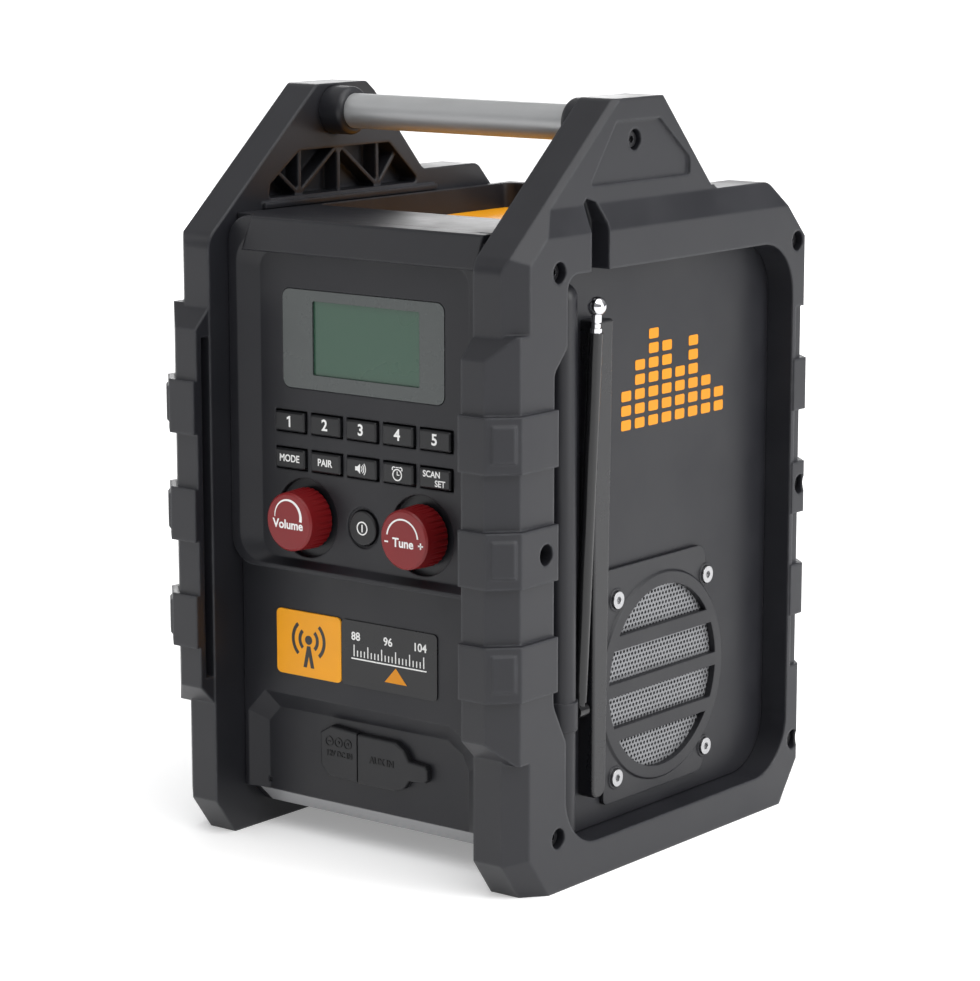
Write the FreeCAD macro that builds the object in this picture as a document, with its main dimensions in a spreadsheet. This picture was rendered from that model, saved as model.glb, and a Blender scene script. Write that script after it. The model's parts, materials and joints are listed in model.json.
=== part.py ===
import FreeCAD, Part
import os
import math
import Sketcher

# Jobsite radio: two armoured side frames carry a body between them and an
# aluminium carrying tube above it.  Millimetres, +Z up, -Y is the control
# front, +X is the side with the telescopic antenna.  The origin is the centre
# of the footprint, on the plane that the radio stands on.

os.makedirs("parts", exist_ok=True)
doc = FreeCAD.newDocument("jobsite_radio")
sheet = doc.addObject("Spreadsheet::Sheet", "dims")

VALUES = [
    ("frame_inner", 74.8), ("frame_outer", 98.5), ("band_outer", 100.9),
    ("frame_front", 108.0), ("frame_back", 117.4), ("armour_front", 116.8),
    ("band_front", 119.0), ("band_back", 119.0), ("tower_face", 94.3),
    ("overall_height", 340.5), ("shoulder_height", 296.7), ("ledge_height", 285.2),
    ("band_pitch", 24.5), ("band_low", 90.6),
    ("tube_dia", 16.0), ("tube_wall", 1.6), ("tube_y", 21.0), ("tube_z", 328.3),
    ("tube_half", 82.0), ("socket_inner", 62.5),
    ("body_half", 74.3), ("body_low", 11.5), ("body_top", 286.0), ("tray_deep", 12.0), ("tray_front", 39.0), ("tray_half", 70.5),
    ("wall", 3.0), ("panel_front", 91.1), ("rim_front", 95.5), ("label_front", 88.6), ("bezel_back", 85.6), 
    ("visor_front", 97.0), ("rear_face", 112.0),
    ("lcd_w", 92.0), ("lcd_d", 44.2), ("lcd_z", 232.4), ("lcd_r", 4.0),
    ("key_w", 17.2), ("key_d", 8.8), ("key_pitch", 20.8), ("key_row_one", 194.8),
    ("key_row_two", 178.0), ("key_gap", 0.75), ("key_travel", 0.8),
    ("power_r", 7.8), ("power_z", 151.2),
    ("knob_r", 13.9), ("knob_x", 33.0), ("knob_z", 151.8), ("knob_len", 12.6),
    ("knob_recess_r", 18.0), ("shaft_r", 3.0),
    ("tile_w", 38.2), ("tile_d", 30.0), ("tile_x", 34.3), ("tile_z", 93.0),
    ("plate_w", 54.8), ("plate_x", 12.4),
    ("port_z", 44.0), ("dc_x", 20.0), ("aux_x", 6.0),
    ("panel_face", 84.7), ("panel_wall", 3.0),
    ("spk_y", 15.0), ("spk_z", 77.6), ("spk_sy", 70.2), ("spk_sz", 81.5),
    ("spk_r", 42.0), ("grille_t", 3.2), ("mesh_t", 0.8),
    ("mast_y", 50.0), ("mast_z", 74.0), ("mast_x", 88.4), ("mast_lean", 2.65),
    ("mast_travel", 150.0), ("screw_head_r", 3.4), ("screw_hole_r", 4.7),
    ("door_w", 96.0), ("door_d", 128.0), ("door_z", 126.0),
    ("pack_w", 78.0), ("pack_d", 108.0), ("pack_t", 52.0),
]
for row, (alias, value) in enumerate(VALUES, start=1):
    sheet.set("A%d" % row, alias)
    sheet.set("B%d" % row, str(value))
    sheet.setAlias("B%d" % row, alias)
doc.recompute()
NUM = dict(VALUES)


class Q:
    """A length that keeps both its number and the sheet expression behind it."""
    def __init__(self, num, txt):
        self.num, self.txt = num, txt

    def _bin(self, other, sign, flip=False):
        o = other if isinstance(other, Q) else Q(float(other), "%.6g mm" % other)
        a, b = (o, self) if flip else (self, o)
        if sign == "+":
            return Q(a.num + b.num, "(%s + %s)" % (a.txt, b.txt))
        return Q(a.num - b.num, "(%s - %s)" % (a.txt, b.txt))

    def __add__(self, o): return self._bin(o, "+")
    def __radd__(self, o): return self._bin(o, "+", True)
    def __sub__(self, o): return self._bin(o, "-")
    def __rsub__(self, o): return self._bin(o, "-", True)
    def __mul__(self, k): return Q(self.num * k, "(%s * %.6g)" % (self.txt, k))
    def __rmul__(self, k): return self * k
    def __truediv__(self, k): return Q(self.num / k, "(%s / %.6g)" % (self.txt, k))
    def __neg__(self): return self * -1.0


def D(alias):
    return Q(NUM[alias], "dims.%s * 1 mm" % alias)


def num(v):
    return v.num if isinstance(v, Q) else float(v)


V3 = FreeCAD.Vector
NODES = []


def bind(obj, prop, v):
    if isinstance(v, Q):
        obj.setExpression(prop, v.txt)
    else:
        setattr(obj, prop, float(v))


def origin_plane(body, role):
    for f in body.Origin.OriginFeatures:
        if f.Role == role:
            return f
    raise RuntimeError(role)


def fix_point(sk, geo, pos, x, y):
    for kind, v, axis in (("DistanceX", x, -2), ("DistanceY", y, -1)):
        if not isinstance(v, Q) and abs(float(v)) < 1e-9:
            sk.addConstraint(Sketcher.Constraint("PointOnObject", geo, pos, axis))
            continue
        i = sk.addConstraint(Sketcher.Constraint(kind, -1, 1, geo, pos, num(v)))
        if isinstance(v, Q):
            sk.setExpression("Constraints[%d]" % i, v.txt)


def draw(sk, loop):
    kind = loop[0]
    if kind == "circ":
        _, x, y, r = loop
        g = sk.addGeometry(Part.Circle(V3(num(x), num(y), 0), V3(0, 0, 1), num(r)), False)
        fix_point(sk, g, 3, x, y)
        i = sk.addConstraint(Sketcher.Constraint("Radius", g, num(r)))
        if isinstance(r, Q):
            sk.setExpression("Constraints[%d]" % i, r.txt)
        return
    if kind == "rect":
        _, x0, y0, x1, y1 = loop
        pts = [(x0, y0), (x1, y0), (x1, y1), (x0, y1)]
    elif kind == "poly":
        pts = loop[1]
    elif kind == "rrect":
        _, x0, y0, x1, y1, r = loop
        corner = [((x0 + r), y0, (x1 - r), y0), (x1, (y0 + r), x1, (y1 - r)),
                  ((x1 - r), y1, (x0 + r), y1), (x0, (y1 - r), x0, (y0 + r))]
        lines = []
        for a in corner:
            g = sk.addGeometry(Part.LineSegment(V3(num(a[0]), num(a[1]), 0), V3(num(a[2]), num(a[3]), 0)), False)
            fix_point(sk, g, 1, a[0], a[1])
            fix_point(sk, g, 2, a[2], a[3])
            lines.append(g)
        centres = [((x1 - r), (y0 + r), -90, 0), ((x1 - r), (y1 - r), 0, 90),
                   ((x0 + r), (y1 - r), 90, 180), ((x0 + r), (y0 + r), 180, 270)]
        for k, (cx, cy, a0, a1) in enumerate(centres):
            circ = Part.Circle(V3(num(cx), num(cy), 0), V3(0, 0, 1), num(r))
            g = sk.addGeometry(Part.ArcOfCircle(circ, math.radians(a0), math.radians(a1)), False)
            sk.addConstraint(Sketcher.Constraint("Coincident", g, 1, lines[k], 2))
            sk.addConstraint(Sketcher.Constraint("Coincident", g, 2, lines[(k + 1) % 4], 1))
            i = sk.addConstraint(Sketcher.Constraint("Radius", g, num(r)))
            if isinstance(r, Q):
                sk.setExpression("Constraints[%d]" % i, r.txt)
        return
    first = None
    n = len(pts)
    for k in range(n):
        (ax, ay), (bx, by) = pts[k], pts[(k + 1) % n]
        g = sk.addGeometry(Part.LineSegment(V3(num(ax), num(ay), 0), V3(num(bx), num(by), 0)), False)
        if first is None:
            first = g
        fix_point(sk, g, 1, ax, ay)
    for k in range(n):
        sk.addConstraint(Sketcher.Constraint("Coincident", first + k, 2, first + (k + 1) % n, 1))


def new_body(label, place=(0, 0, 0), keep=True):
    body = doc.addObject("PartDesign::Body", label)
    body.Label = label
    body.Placement = FreeCAD.Placement(V3(*[num(c) for c in place]), FreeCAD.Rotation())
    for ax, c in zip(("x", "y", "z"), place):
        if isinstance(c, Q):
            body.setExpression(".Placement.Base.%s" % ax, c.txt)
    if keep:
        NODES.append((label, body))
    return body


ROLES = {"X": ("YZ_Plane", 1), "Y": ("XZ_Plane", -1), "Z": ("XY_Plane", 1)}


def make_sketch(body, axis, lo, hi, loops):
    role, sign = ROLES[axis]
    sk = body.newObject("Sketcher::SketchObject", body.Label + "_sketch")
    sk.AttachmentSupport = [(origin_plane(body, role), "")]
    sk.MapMode = "FlatFace"
    start = lo if sign > 0 else -hi
    sk.AttachmentOffset = FreeCAD.Placement(V3(0, 0, num(start)), FreeCAD.Rotation())
    if isinstance(start, Q):
        sk.setExpression(".AttachmentOffset.Base.z", start.txt)
    for loop in loops:
        draw(sk, loop)
    return sk


def add(body, axis, lo, hi, loops, taper=0.0):
    """Pad between two coordinates along a world axis."""
    sk = make_sketch(body, axis, lo, hi, loops)
    f = body.newObject("PartDesign::Pad", body.Label + "_pad")
    f.Profile = sk
    bind(f, "Length", hi - lo)
    if taper:
        f.TaperAngle = taper
    doc.recompute()
    return f


def cut(body, axis, lo, hi, loops, taper=0.0):
    """Pocket between two coordinates along a world axis."""
    before = body.Shape.Volume
    sk = make_sketch(body, axis, lo, hi, loops)
    f = body.newObject("PartDesign::Pocket", body.Label + "_pocket")
    f.Profile = sk
    bind(f, "Length", hi - lo)
    f.Reversed = True
    if taper:
        f.TaperAngle = taper
    doc.recompute()
    if not body.Shape.Volume < before - 1e-6:
        raise RuntimeError("pocket cuts nothing: " + body.Label)
    return f


def loft_cut(body, axis, sections):
    """Pocket lofted between outlines of equal corner count on parallel planes."""
    before = body.Shape.Volume
    sks = []
    for coord, loop in sections:
        lo = hi = coord
        sks.append(make_sketch(body, axis, lo, hi, [loop]))
    f = body.newObject("PartDesign::SubtractiveLoft", body.Label + "_dish")
    f.Profile = sks[0]
    f.Sections = sks[1:]
    f.Ruled = True
    doc.recompute()
    if not body.Shape.Volume < before - 1e-6:
        raise RuntimeError("loft cuts nothing: " + body.Label)
    return f


def revolve(body, axis, pts):
    """Revolve a profile of (radius, height) points about the body's own axis."""
    role = {"Z": "XZ_Plane", "Y": "XY_Plane", "X": "XY_Plane"}[axis]
    sk = body.newObject("Sketcher::SketchObject", body.Label + "_sketch")
    sk.AttachmentSupport = [(origin_plane(body, role), "")]
    sk.MapMode = "FlatFace"
    if axis == "X":
        pts = [(b, a) for a, b in pts]
    draw(sk, ("poly", pts))
    f = body.newObject("PartDesign::Revolution", body.Label + "_turn")
    f.Profile = sk
    f.ReferenceAxis = (sk, ["H_Axis" if axis == "X" else "V_Axis"])
    f.Angle = 360.0
    doc.recompute()
    return f


def ease(body, kind, size, test):
    """Fillet or Chamfer on the edges of the tip that pass a test; kept only when it is sound."""
    tip = body.Tip
    names = ["Edge%d" % (i + 1) for i, e in enumerate(tip.Shape.Edges) if test(e)]
    if not names:
        print("no edges for", kind, body.Label)
        return
    f = body.newObject("PartDesign::" + kind, body.Label + "_" + kind.lower())
    f.Base = (tip, names)
    bind(f, "Radius" if kind == "Fillet" else "Size", size)
    doc.recompute()
    bad = ("Invalid" in f.State) or ("Error" in f.State) or f.Shape.isNull() or not f.Shape.isValid()
    if bad:
        print("left sharp:", kind, body.Label, len(names))
        body.removeObject(f)
        doc.removeObject(f.Name)
        body.Tip = tip
        doc.recompute()


def along(e, axis, tol=1e-4):
    if e.Curve.TypeId != "Part::GeomLine":
        return False
    d = (e.lastVertex(True).Point - e.firstVertex(True).Point)
    if d.Length < 1e-6:
        return False
    d.normalize()
    return abs(abs({"X": d.x, "Y": d.y, "Z": d.z}[axis]) - 1) < tol


def mid(e):
    return e.BoundBox.Center


def feature(label, shape, place=None):
    o = doc.addObject("Part::Feature", label)
    o.Label = label
    o.Shape = shape
    o.Placement = place or FreeCAD.Placement()
    NODES.append((label, o))
    return o


def prism(axis, lo, hi, pts, r=None):
    """Solid prism of a 2-D outline, with the given corner radii, along a world axis."""
    def to3(p):
        return {"X": V3(lo, p[0], p[1]), "Y": V3(p[0], lo, p[1]), "Z": V3(p[0], p[1], lo)}[axis]
    n = len(pts)
    edges = []
    ends = []
    for k in range(n):
        p0, p1, p2 = pts[k - 1], pts[k], pts[(k + 1) % n]
        rad = p1[2] if len(p1) > 2 else (r or 0.0)
        P0, P1, P2 = to3(p0), to3(p1), to3(p2)
        if rad <= 0:
            ends.append((P1, P1, None))
            continue
        a, b = (P0 - P1), (P2 - P1)
        la, lb = a.Length, b.Length
        a.normalize(); b.normalize()
        ang = a.getAngle(b)
        t = min(rad / math.tan(ang / 2), 0.49 * la, 0.49 * lb)
        rr = t * math.tan(ang / 2)
        A, B = P1 + a * t, P1 + b * t
        bis = a + b
        bis.normalize()
        M = P1 + bis * (rr / math.sin(ang / 2) - rr)
        ends.append((A, B, M))
    for k in range(n):
        A, B, M = ends[k]
        if M is not None:
            edges.append(Part.Arc(A, M, B).toShape())
        nxt = ends[(k + 1) % n][0]
        if (nxt - B).Length > 1e-6:
            edges.append(Part.LineSegment(B, nxt).toShape())
    face = Part.Face(Part.Wire(edges))
    d = {"X": V3(hi - lo, 0, 0), "Y": V3(0, hi - lo, 0), "Z": V3(0, 0, hi - lo)}[axis]
    return face.extrude(d)


def half(point, normal, size=700.0):
    """A big block lying on the +normal side of a plane."""
    b = Part.makeBox(size, size, size, V3(-size / 2, -size / 2, 0))
    rot = FreeCAD.Rotation(V3(0, 0, 1), V3(*normal))
    b.Placement = FreeCAD.Placement(V3(*point), rot)
    return b


def box(x0, x1, y0, y1, z0, z1):
    return Part.makeBox(x1 - x0, y1 - y0, z1 - z0, V3(x0, y0, z0))


def cyl(r, a, b):
    a, b = V3(*a), V3(*b)
    return Part.makeCylinder(r, (b - a).Length, a, b - a)


def soft_fillet(shape, r, test):
    """Round the chosen edges, one group at a time, leaving sharp what will not round."""
    es = [e for e in shape.Edges if test(e)]
    if not es:
        return shape
    try:
        s = shape.makeFillet(r, es)
        if s.isValid() and s.Volume > 0 and len(s.Solids) == len(shape.Solids):
            return s
    except Exception:
        pass
    print("fillet skipped for", len(es), "edges")
    return shape


val = lambda a: float(sheet.get(a))

# ---------------------------------------------------------------- side frames
XI, XO, XB = val("frame_inner"), val("frame_outer"), val("band_outer")
YF, YK = -val("frame_front"), val("frame_back")
YA, YB, YR = -val("armour_front"), -val("band_front"), val("band_back")
XT, ZT, ZS, ZL = val("tower_face"), val("overall_height"), val("shoulder_height"), val("ledge_height")
PITCH, BAND0 = val("band_pitch"), val("band_low")
SLOPE = 0.872
ZK = 275.6                                   # height where the front slope starts


def slope_y(z):
    return YF + (z - ZK) / SLOPE


def frame_right():
    full = [(YF, 16.8), (-95.7, 0.0), (97.0, 0.0), (YK, 28.0), (YK, 264.0, 8.0), (85.6, ZS, 8.0),
            (43.5, ZS, 5.0), (7.5, 336.0, 6.0), (1.5, ZT, 4.0), (slope_y(ZT), ZT, 5.0), (YF, ZK, 10.0)]
    a = prism("X", XI, XT, full)
    low = [(YF, 16.8), (-95.7, 0.0), (97.0, 0.0), (YK, 28.0), (YK, 264.0, 8.0), (85.6, ZS, 8.0),
           (slope_y(ZS), ZS), (YF, ZK, 10.0)]
    b = prism("X", XT, XO, low)
    # the ledge: the outer layer slopes out and down from the tower's face
    b = b.cut(half((XT, 0, ZS), (ZS - ZL, 0, XO - XT)))
    s = a.fuse(b).removeSplitter()
    # corner faces: front, front slope, bottom front, back
    q = math.sqrt(0.5)
    s = s.cut(half((89.7, YF, 0), (q, -q, 0)).common(box(60, 140, -200, 0, -10, ZK + 3)))
    nl = math.hypot(1, SLOPE)
    ny, nz = -SLOPE / nl, 1 / nl
    s = s.cut(half((92.2, YF, ZK), (q, q * ny, q * nz)).common(box(60, 140, -200, 40, ZK - 40, 400)))
    dl = math.hypot(12.3, 16.8)
    s = s.cut(half((90.2, YF, 16.8), (q, -q * 16.8 / dl, -q * 12.3 / dl)).common(box(60, 140, -200, 0, -10, 40)))
    s = s.cut(half((92.5, YK, 0), (q, q, 0)).common(box(60, 140, 0, 200, -10, 290)))
    # back slope of the tower gets a narrow corner face
    s = s.cut(half((92.6, 43.5, ZS), (q, q * 0.738, q * 0.675)).common(box(60, 140, 0, 60, ZS + 2, 400)))
    # armour wrapped round the front corner, open on its inner side
    def corner(front, side, z0, z1, back=-82.6):
        pts = [(XI + 0.4, front), (side - 11.0, front), (side, front + 11.0), (side, back), (XI + 0.4, back)]
        return prism("Z", z0, z1, pts)
    arm = corner(YA, XO, 62.0, 246.0)
    # the armour runs out in slanted ends
    arm = arm.cut(half((0, YA, 236.0), (0, -q, q)))
    arm = arm.cut(half((0, YA, 72.0), (0, -q, -q)))
    for i in range(3):
        z0 = BAND0 + 2 * i * PITCH
        band = corner(YB, XB, z0, z0 + PITCH - 0.2)
        arm = arm.fuse(band)
    # the inner pocket that keeps the armour a shell
    arm = arm.cut(prism("Z", 76.0, 232.0, [(XI - 1, YA + 3.4), (86.0, YA + 3.4), (90.5, YA + 7.9), (90.5, YF - 0.05), (XI - 1, YF - 0.05)]))
    s = s.fuse(arm).removeSplitter()
    # raised pads on the corner face of each raised band
    for i in range(3):
        z0 = BAND0 + 2 * i * PITCH
        mx, my = XB - 5.5, YB + 5.5
        pad = Part.makeBox(11.6, 2.4, 17.0, V3(-5.8, -1.2, 0))
        pad = pad.makeChamfer(1.1, [e for e in pad.Edges if abs(e.BoundBox.Center.y + 1.2) < 1e-6])
        pad.Placement = FreeCAD.Placement(V3(mx - 0.15, my + 0.15, z0 + 4.2), FreeCAD.Rotation(V3(0, 0, 1), 45))
        s = s.fuse(pad)
    # grooves across the back corner, level with the plain bands in front
    for i in range(4):
        z0 = BAND0 + (2 * i - 1) * PITCH
        z1 = z0 + PITCH
        g = box(60, 140, YK - 2.8, 140, z0, z1)
        s = s.cut(g.common(box(89.0, 140, 60, 140, 0, 300)))
        s = s.cut(half((92.5 - 1.9, YK, 0), (q, q, 0)).common(box(60, 140, 90, 140, z0, z1)))
        s = s.cut(box(XO - 1.6, 140, 105.0, 140, z0, z1))
    for i in range(3):
        z0 = BAND0 + 2 * i * PITCH
        raised = prism("Z", z0 + 0.2, z0 + PITCH - 0.2,
                       [(90.5, YK - 6), (90.5, YR), (92.5, YR), (XB - 1.6, YK - 4.6), (XB - 1.6, 103.0), (95.0, 103.0)])
        s = s.fuse(raised)
    s = s.removeSplitter()
    # opening for the side panel, wider where the armour is narrow
    opening = [(-73.4, 268.7, 7.0), (102.2, 268.7, 24.5), (102.2, 16.8, 26.0), (-73.4, 16.8, 26.0),
               (-73.4, 66.0, 6.0), (-82.6, 84.0, 10.0), (-82.6, 228.0, 6.0), (-73.4, 238.0, 4.0)]
    s = s.cut(prism("X", XI - 2, XB + 4, opening))
    # recessed screw seats on the outer face
    for (y, z) in SIDE_SCREWS:
        s = s.cut(cyl(val("screw_hole_r"), (XO - 6.0, y, z), (XB + 5, y, z)))
        s = s.cut(cyl(1.9, (XI - 1, y, z), (XO, y, z)))
    y, z = HANDLE_SCREW
    s = s.cut(cyl(val("screw_hole_r"), (XT - 6.0, y, z), (XT + 5, y, z)))
    s = s.cut(cyl(1.9, (84.0, y, z), (XT, y, z)))
    # shallow trapezoid panel round the handle screw
    trap = [(-33.0, 330.6, 1.2), (-0.5, 330.6, 2.5), (23.0, 312.0, 3.0), (23.0, 304.5, 1.2), (-52.0, 304.5, 1.2)]
    cutter = prism("X", XT - 1.4, XT + 4, trap)
    s = s.cut(cutter)
    # truss window on the inner face of the tower
    win = [(-67.5, 290.5, 2.0), (-66.3, 297.0, 2.0), (-46.0, 311.0, 3.0), (18.5, 311.0, 3.0), (42.0, 290.5, 2.0)]
    s = s.cut(prism("X", XI - 1, XI + 11.0, win))
    ribs = []
    def rib(p, r2, w=1.7):
        d = V3(0, r2[0] - p[0], r2[1] - p[1])
        L = d.Length
        bx = Part.makeBox(8.5, L, w, V3(0, 0, -w / 2))
        bx.Placement = FreeCAD.Placement(V3(XI + 2.6, p[0], p[1]), FreeCAD.Rotation(V3(0, 1, 0), d))
        return bx
    yv = [-43.0, -15.5, 12.5]
    for yy in yv:
        ribs.append(box(XI + 2.6, XI + 11.2, yy - 0.9, yy + 0.9, 289.5, 312.0))
    for p, r2 in (((-62.0, 305.0), (-45.0, 292.0)), ((-42.0, 292.0), (-17.0, 311.0)),
                  ((-14.0, 311.0), (11.0, 292.0)), ((14.0, 292.0), (26.0, 306.0))):
        ribs.append(rib(p, r2))
    for yy, zz in ((-43.5, 291.5), (12.5, 291.5), (-15.5, 310.5)):
        ribs.append(cyl(2.6, (XI + 2.6, yy, zz), (XI + 11.2, yy, zz)))
    clip = prism("X", XI, XI + 11.0, win)
    for rb in ribs:
        s = s.fuse(rb.common(clip))
    s = s.removeSplitter()
    # sill under the window
    sill = box(XI - 2.2, XI + 1, -72.0, 52.0, 286.4, 289.0)
    s = s.fuse(sill)
    # socket for the handle end
    s = s.cut(cyl(val("tube_dia") / 2 + 3.2, (XI - 4, -val("tube_y"), val("tube_z")), (val("tube_half") + 5.0, -val("tube_y"), val("tube_z"))))
    return s.removeSplitter()


SIDE_SCREWS = [(-79.0, 270.3), (-91.0, 151.8), (-78.5, 24.0), (105.3, 268.2), (109.6, 153.2), (108.2, 29.5)]
HANDLE_SCREW = (-17.6, 322.2)

fr = frame_right()
plain = fr.copy()
# channel through the top bar that lets the mast rise past the ledge
my = -val("mast_y")
chan = prism("X", XI + 13.5, XB + 3, [(my - 6.6, 266.0), (my - 6.6, 297.4), (my - 4.6, 299.5), (my + 2.5, 297.5), (my + 6.6, 288.5), (my + 6.6, 266.0)])
fr = fr.cut(chan)
fr = fr.removeSplitter()
feature("side_frame_right", fr)
mir = doc.addObject("Part::Feature", "left_source")
mir.Shape = plain
mirror = doc.addObject("Part::Mirroring", "side_frame_left")
mirror.Label = "side_frame_left"
mirror.Source = mir
mirror.Normal = V3(1, 0, 0)
mirror.Base = V3(0, 0, 0)
doc.recompute()
NODES.append(("side_frame_left", mirror))

print("frame", fr.isValid(), len(fr.Solids), round(fr.Volume), [round(v, 2) for v in (fr.BoundBox.XMin, fr.BoundBox.XMax, fr.BoundBox.YMin, fr.BoundBox.YMax, fr.BoundBox.ZMin, fr.BoundBox.ZMax)])

# ------------------------------------------------------- handle and sockets
tube = new_body("handle_tube", (0, -D("tube_y"), D("tube_z")))
add(tube, "X", -D("tube_half"), D("tube_half"), [("circ", 0, 0, D("tube_dia") / 2), ("circ", 0, 0, D("tube_dia") / 2 - D("tube_wall"))])

def mirrored(source, label):
    """Mirror image of an object about the middle plane of the radio."""
    m = doc.addObject("Part::Mirroring", label)
    m.Label = label
    m.Source = source
    m.Normal = V3(1, 0, 0)
    m.Base = V3(0, 0, 0)
    doc.recompute()
    return m


def grouped(label, members):
    """Separate solids that share one node."""
    g = doc.addObject("Part::Compound", label)
    g.Label = label
    g.Links = members
    doc.recompute()
    NODES.append((label, g))
    return g


b = new_body("socket_right", (0, -D("tube_y"), D("tube_z")), keep=False)
add(b, "X", D("socket_inner"), D("tube_half") + 4.8, [("circ", 0, 0, D("tube_dia") / 2 + 3.1)])
cut(b, "X", D("socket_inner") - 1, D("tube_half"), [("circ", 0, 0, D("tube_dia") / 2)])
cut(b, "X", D("tube_half"), D("tube_half") + 6, [("circ", HANDLE_SCREW[0] + val("tube_y"), HANDLE_SCREW[1] - val("tube_z"), 1.9)])
ease(b, "Fillet", 2.2, lambda e: e.Curve.TypeId == "Part::GeomCircle" and abs(e.Curve.Radius - (val("tube_dia") / 2 + 3.1)) < 0.01 and abs(mid(e).x - val("socket_inner")) < 0.01)
grouped("handle_sockets", [b, mirrored(b, "socket_left")])


def hex_screw(x_head, y, z, sg, x_tip, r_head=3.4, t_head=2.6, r_shank=1.85):
    """Socket screw along X with its head at x_head, pointing inwards."""
    a = (x_head, y, z)
    s = cyl(r_head, a, (x_head - sg * t_head, y, z))
    s = s.fuse(cyl(r_shank, (x_head - sg * t_head, y, z), (x_tip, y, z)))
    pts = [V3(x_head, y + 1.75 * math.cos(math.radians(60 * k)), z + 1.75 * math.sin(math.radians(60 * k))) for k in range(6)]
    hexa = Part.Face(Part.makePolygon(pts + [pts[0]])).extrude(V3(-sg * 1.6, 0, 0))
    return s.cut(hexa)


screws = []
for sg in (1, -1):
    for (y, z) in SIDE_SCREWS:
        deep = abs(y) < 88 or 90 < y < 106
        screws.append(hex_screw(sg * (XO - 6.0 + 2.6), y, z, sg, sg * (64.5 if deep else 76.0)))
screws += [hex_screw(sg * (XT - 6.0 + 2.6), HANDLE_SCREW[0], HANDLE_SCREW[1], sg, sg * 82.6) for sg in (1, -1)]
feature("frame_screws", Part.makeCompound(screws))

# --------------------------------------------------------------- body shell
BH = D("body_half")
REAR_SCREWS = [(-66.0, 24.0), (66.0, 24.0), (-66.0, 150.0), (66.0, 150.0), (-66.0, 254.0), (66.0, 254.0)]
shell = new_body("main_shell")
SF = -(D("bezel_back") - 1.0)               # front edge of the shell, behind the gasket
add(shell, "Y", SF, D("rear_face") - 3, [("rect", -BH, D("body_low"), BH, D("body_top") - 2)])
cut(shell, "Y", SF - 1, D("rear_face") - 2, [("rect", -(BH - D("wall")), D("body_low") + D("wall"), BH - D("wall"), D("body_top") - 2 - D("wall"))])
for (y, z) in SIDE_SCREWS:
    if abs(y) < 88 or 90 < y < 106:
        for sg in (1, -1):
            lo, hi = (64.0, BH - D("wall") + 0.01) if sg > 0 else (-(BH - D("wall") + 0.01), -64.0)
            add(shell, "X", lo, hi if isinstance(hi, Q) else Q(hi, "%g mm" % hi), [("circ", y, z, 4.0 if abs(y) < 88 else 2.9)])
            lo, hi = (Q(63.0, "63 mm"), BH + 1) if sg > 0 else (-(BH + 1), Q(-63.0, "-63 mm"))
            cut(shell, "X", lo, hi, [("circ", y, z, 1.9)])
lo, hi = -(BH + 1), BH + 1
cut(shell, "X", lo, hi, [("circ", D("spk_y"), D("spk_z"), D("spk_r") - 3)])
cut(shell, "X", lo, hi, [("poly", [(-90.0, 5.0), (-90.0, 26.8), (-74.0, D("body_low")), (-74.0, 5.0)])])
cut(shell, "Z", Q(10.0, "10 mm"), D("body_low") + D("wall") + 0.5, [("rect", -BH + D("wall"), -90.0, BH - D("wall"), -73.6)])
# tray sunk into the top behind the display: floor, then the pocket above it
TF = D("body_top") - D("tray_deep")           # level of the cover in the tray
add(shell, "Z", TF - 3.6, D("body_top") - 2.0, [("rect", -BH + 1.0, -D("tray_front") - 3.0, BH - 1.0, D("rear_face") - 3)])
add(shell, "Z", D("body_top") - 2.0, D("body_top"), [("rect", -BH, -D("bezel_back"), BH, D("rear_face") - 3)])
cut(shell, "Z", TF - 2.0, D("body_top") + 1, [("rrect", -D("tray_half"), -D("tray_front"), D("tray_half"), D("rear_face") - 7.0, 5.0)])
# bosses for the rear cover's screws, with pilot holes
for x, z in REAR_SCREWS:
    add(shell, "Y", Q(97.0, "97 mm"), D("rear_face") - 3, [("circ", x, z, 5.5)])
    cut(shell, "Y", Q(96.0, "96 mm"), D("rear_face") - 2, [("circ", x, z, 1.6)])
doc.recompute()

cover = new_body("top_cover")
add(cover, "Z", TF - 2.0, TF, [("rrect", -D("tray_half") + 0.3, -D("tray_front") + 0.3, D("tray_half") - 0.3, D("rear_face") - 7.3, 4.7)])
ease(cover, "Fillet", 0.8, lambda e: abs(mid(e).z - num(TF)) < 1e-4)
gasket = new_body("front_gasket")
add(gasket, "Y", -D("bezel_back"), SF, [("rect", -BH, 21.5, BH, D("body_top") - 2),
                                                ("rect", -(BH - 2.4), 24.0, BH - 2.4, D("body_top") - 4.4)])
cut(gasket, "Y", -D("bezel_back") - 1, SF + 1, [("rect", -71.3, 20.0, 71.3, 25.0)])

# -------------------------------------------------------------- front bezel
PF = D("panel_front")
bez = new_body("front_bezel")
PB = D("bezel_back")                          # back plane of the bezel wall
LF = D("label_front")
add(bez, "Y", -LF, -PB, [("rect", -BH, D("body_low"), BH, D("body_top"))])
add(bez, "Y", -D("rim_front"), -LF, [("rrect", -BH, 127.5, BH, D("body_top"), 13.0)])
# the control face is dished into its rim
loft_cut(bez, "Y", [(-D("rim_front") - 0.01, ("rrect", -69.5, 127.9 + 1.6, 69.5, 278.0, 13.0)),
                    (-PF, ("rrect", -59.5, 132.4, 59.5, 270.5, 8.0))])
add(bez, "Y", -D("visor_front"), -PF - 0.01, [("poly", [(-65.5, 270.5), (67.5, 270.5), (71.5, D("body_top")), (-59.0, D("body_top"))])])
ease(bez, "Fillet", 1.0, lambda e: abs(mid(e).y + val("visor_front")) < 1e-4)
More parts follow.
